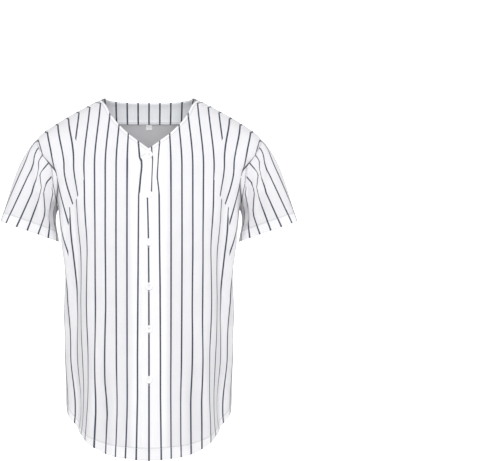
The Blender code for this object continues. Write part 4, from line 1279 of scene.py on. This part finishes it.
def turned_button():
    """The button by itself, face along +Z, with its four holes cut through."""
    work = bmesh.new()
    profile = [work.verts.new((radius, 0.0, lift)) for radius, lift in BUTTON_PROFILE]
    edges = [work.edges.new(pair) for pair in zip(profile[:-1], profile[1:])]
    bmesh.ops.spin(work, geom=profile + edges, cent=(0, 0, 0), axis=(0, 0, 1), angle=2 * math.pi,
                   steps=BUTTON_SIDES, use_merge=True)
    bmesh.ops.remove_doubles(work, verts=work.verts, dist=1e-6)
    bmesh.ops.recalc_face_normals(work, faces=work.faces)
    disc = placed("button_disc", from_bmesh("button_disc", work))
    drills = bmesh.new()
    for x in (-HOLE_OFFSET, HOLE_OFFSET):
        for y in (-HOLE_OFFSET, HOLE_OFFSET):
            made = bmesh.ops.create_cone(drills, cap_ends=True, segments=HOLE_SIDES,
                                         radius1=HOLE_RADIUS, radius2=HOLE_RADIUS,
                                         depth=DRILL_LENGTH)
            bmesh.ops.translate(drills, verts=made["verts"], vec=(x, y, 0.0))
    drill = placed("button_drills", from_bmesh("button_drills", drills))
    cut = disc.modifiers.new("holes", "BOOLEAN")
    cut.object = drill
    cut.solver = "EXACT"
    cut.operation = "DIFFERENCE"
    mesh = plain_mesh(disc)
    for thing in (disc, drill):
        bpy.data.objects.remove(thing)
    return mesh


def strand_tube(x):
    """A strand of thread from hole to hole: rings of points and the faces between them."""
    thick, rise = STRAND
    sides, rings = STRAND_FACES
    turn = np.linspace(0.0, 2 * math.pi, sides + 1)[:-1, None]
    points = []
    for t in np.linspace(0.0, math.pi, rings):
        lift = (rise + STRAND_SUNK) * math.sin(t) - STRAND_SUNK
        middle = np.array([x, -math.cos(t) * HOLE_OFFSET, lift])
        out = np.array([0.0, -math.cos(t), math.sin(t)])
        points.append(middle + thick * (np.cos(turn) * out + np.sin(turn) * np.array([1.0, 0.0, 0.0])))
    faces = [(r * sides + k, r * sides + (k + 1) % sides, (r + 1) * sides + (k + 1) % sides,
              (r + 1) * sides + k) for r in range(rings - 1) for k in range(sides)]
    last = (rings - 1) * sides
    faces += [tuple(range(sides - 1, -1, -1)), tuple(range(last, last + sides))]
    return np.concatenate(points), faces


button_plastic = plastic_finish()
button_model = turned_button()


def sewn_button(number, height):
    low = form.points(BESIDE_MIDDLE, height - BUTTON_RADIUS)
    high = form.points(BESIDE_MIDDLE, height + BUTTON_RADIUS)
    up = unit(high - low)
    side = np.array([1.0, 0.0, 0.0])
    out = np.cross(side, up)
    middle = (low + high) / 2 + out * (STAND_LIFT + BUTTON_STAND_OFF)
    turned = np.stack([side, up, out])
    points = [np.array([v.co for v in button_model.vertices]) @ turned + middle]
    faces = [tuple(p.vertices) for p in button_model.polygons]
    kind = [0] * len(faces)
    for x in (-HOLE_OFFSET, HOLE_OFFSET):
        tube, sides = strand_tube(x)
        start = sum(len(part) for part in points)
        points.append(tube @ turned + middle)
        faces += [tuple(start + k for k in face) for face in sides]
        kind += [1] * len(sides)
    mesh = bpy.data.meshes.new(f"sewn_button_{number}")
    mesh.from_pydata(np.concatenate(points).tolist(), [], faces)
    work = bmesh.new()
    work.from_mesh(mesh)
    bmesh.ops.recalc_face_normals(work, faces=work.faces)
    work.to_mesh(mesh)
    work.free()
    mesh.polygons.foreach_set("material_index", kind)
    mesh.shade_smooth()
    mesh.set_sharp_from_angle(angle=SHARP_EDGE)
    mesh.materials.append(button_plastic)
    mesh.materials.append(thread)
    made = placed(f"sewn_button_{number}", mesh)
    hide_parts(f"button_{number}")
    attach(made, "root")


def buttonhole_line(height):
    """The edge of one buttonhole on the button stand: two straights with rounded ends."""
    length, half, below = BUTTONHOLE
    turn = np.linspace(0.0, 2 * math.pi, BUTTONHOLE_POINTS)
    across = half * np.cos(turn)
    along = half * np.sin(turn) + np.sign(np.sin(turn)) * (length / 2 - half)
    place = form.points(across + np.copysign(BESIDE_MIDDLE, across), height - below + along)
    return place + np.array([0.0, -(STAND_LIFT + BUTTONHOLE_LIFT), 0.0])


for number, height in enumerate(BUTTON_HEIGHTS, start=1):
    sewn_button(number, height)
stitching("buttonholes", [buttonhole_line(height) for height in BUTTON_HEIGHTS],
          **BUTTONHOLE_STITCH)


# The studio: a pale round floor well under the jersey and a white backdrop. Soft light falls from
# above, in front, both sides and behind, and the camera is level with the jersey's middle.
CAMERA_HEIGHT = -0.382
CAMERA_AWAY = 2.8
PIXELS_PER_METRE = 471.0
PHOTO_SIZE = (488, 461)
CENTRE_PIXEL = (149.0, 278.0)
SENSOR_WIDTH = 36.0


def studio_surface(name, points, colour, glow=0.0):
    mesh = bpy.data.meshes.new(name)
    mesh.from_pydata(points, [], [tuple(range(len(points)))])
    made = placed(name, mesh)
    finish, _, shader = new_material(name, 0.9)
    shader.inputs["Base Color"].default_value = colour
    shader.inputs["Emission Color"].default_value = (1.0, 1.0, 1.0, 1.0)
    shader.inputs["Emission Strength"].default_value = glow
    mesh.materials.append(finish)
    return made


FLOOR_RADIUS, FLOOR_HEIGHT, FLOOR_CORNERS = 3.2, -1.45, 64
FLOOR_GREY, BACKDROP_GREY = (0.80, 0.80, 0.80, 1.0), (0.9, 0.9, 0.9, 1.0)
BACKDROP_HALF, BACKDROP_AWAY, BACKDROP_RISE, BACKDROP_GLOW = 4.5, 6.0, 3.2, 1.5
floor_ring = [(FLOOR_RADIUS * math.cos(a), FLOOR_RADIUS * math.sin(a), FLOOR_HEIGHT)
              for a in np.linspace(0, 2 * math.pi, FLOOR_CORNERS + 1)[:-1]]
studio_surface("studio_floor", floor_ring, FLOOR_GREY)
backdrop = [(x * BACKDROP_HALF, BACKDROP_AWAY, z * BACKDROP_RISE)
            for x, z in ((-1, -1), (1, -1), (1, 1), (-1, 1))]
studio_surface("studio_backdrop", backdrop, BACKDROP_GREY, BACKDROP_GLOW)

# The soft boxes: where each hangs, what it is aimed at, its width and height, and its power
SOFT_BOXES = {
    "key_top": ((0.0, -1.2, 1.5), (0.0, 0.05, -0.10), (1.3, 0.8), 15.0),
    "key_front": ((0.0, -2.0, 0.0), (0.0, 0.0, -0.10), (1.2, 0.8), 27.0),
    "left_strip": ((-2.4, -0.4, 0.1), (0.0, 0.0, -0.20), (0.8, 1.8), 24.0),
    "right_strip": ((2.4, -0.4, 0.1), (0.0, 0.0, -0.20), (0.8, 1.8), 24.0),
    "back_fill": ((0.0, 3.0, 0.3), (0.0, 0.0, -0.30), (1.8, 1.4), 34.0),
}
for name, (place, aim, size, power) in SOFT_BOXES.items():
    light = bpy.data.lights.new(name, "AREA")
    light.shape = "RECTANGLE"
    light.size, light.size_y = size
    light.energy = power
    box = placed(name, light)
    box.location = place
    box.visible_camera = False
    box.rotation_euler = (Vector(aim) - Vector(place)).to_track_quat("-Z", "Y").to_euler()

# The room beyond the lights looks pale but adds only a little light of its own
ROOM_LOOK, ROOM_LIGHT = 0.80, 0.22
ROOM_COLOUR = (0.98, 0.985, 1.0, 1.0)
world = bpy.data.worlds.new("studio")
bpy.context.scene.world = world
world.use_nodes = True
background = world.node_tree.nodes["Background"]
background.inputs["Color"].default_value = ROOM_COLOUR
seen = node(world.node_tree, "ShaderNodeLightPath").outputs["Is Camera Ray"]
room = node(world.node_tree, "ShaderNodeMapRange", {"Value": seen, 3: ROOM_LIGHT, 4: ROOM_LOOK})
world.node_tree.links.new(room.outputs[0], background.inputs["Strength"])

bpy.context.scene.view_settings.view_transform = "Standard"
bpy.context.scene.view_settings.look = "None"

camera_data = bpy.data.cameras.new("photo_camera")
camera = placed("photo_camera", camera_data)
bpy.context.scene.camera = camera
camera.location = (0.0, -CAMERA_AWAY, CAMERA_HEIGHT)
camera.rotation_euler = (math.pi / 2, 0.0, 0.0)
camera_data.sensor_width = SENSOR_WIDTH
camera_data.lens = SENSOR_WIDTH * PIXELS_PER_METRE * CAMERA_AWAY / PHOTO_SIZE[0]
camera_data.shift_x = (PHOTO_SIZE[0] / 2 - CENTRE_PIXEL[0]) / PHOTO_SIZE[0]
camera_data.shift_y = (CENTRE_PIXEL[1] - PHOTO_SIZE[1] / 2) / PHOTO_SIZE[0]
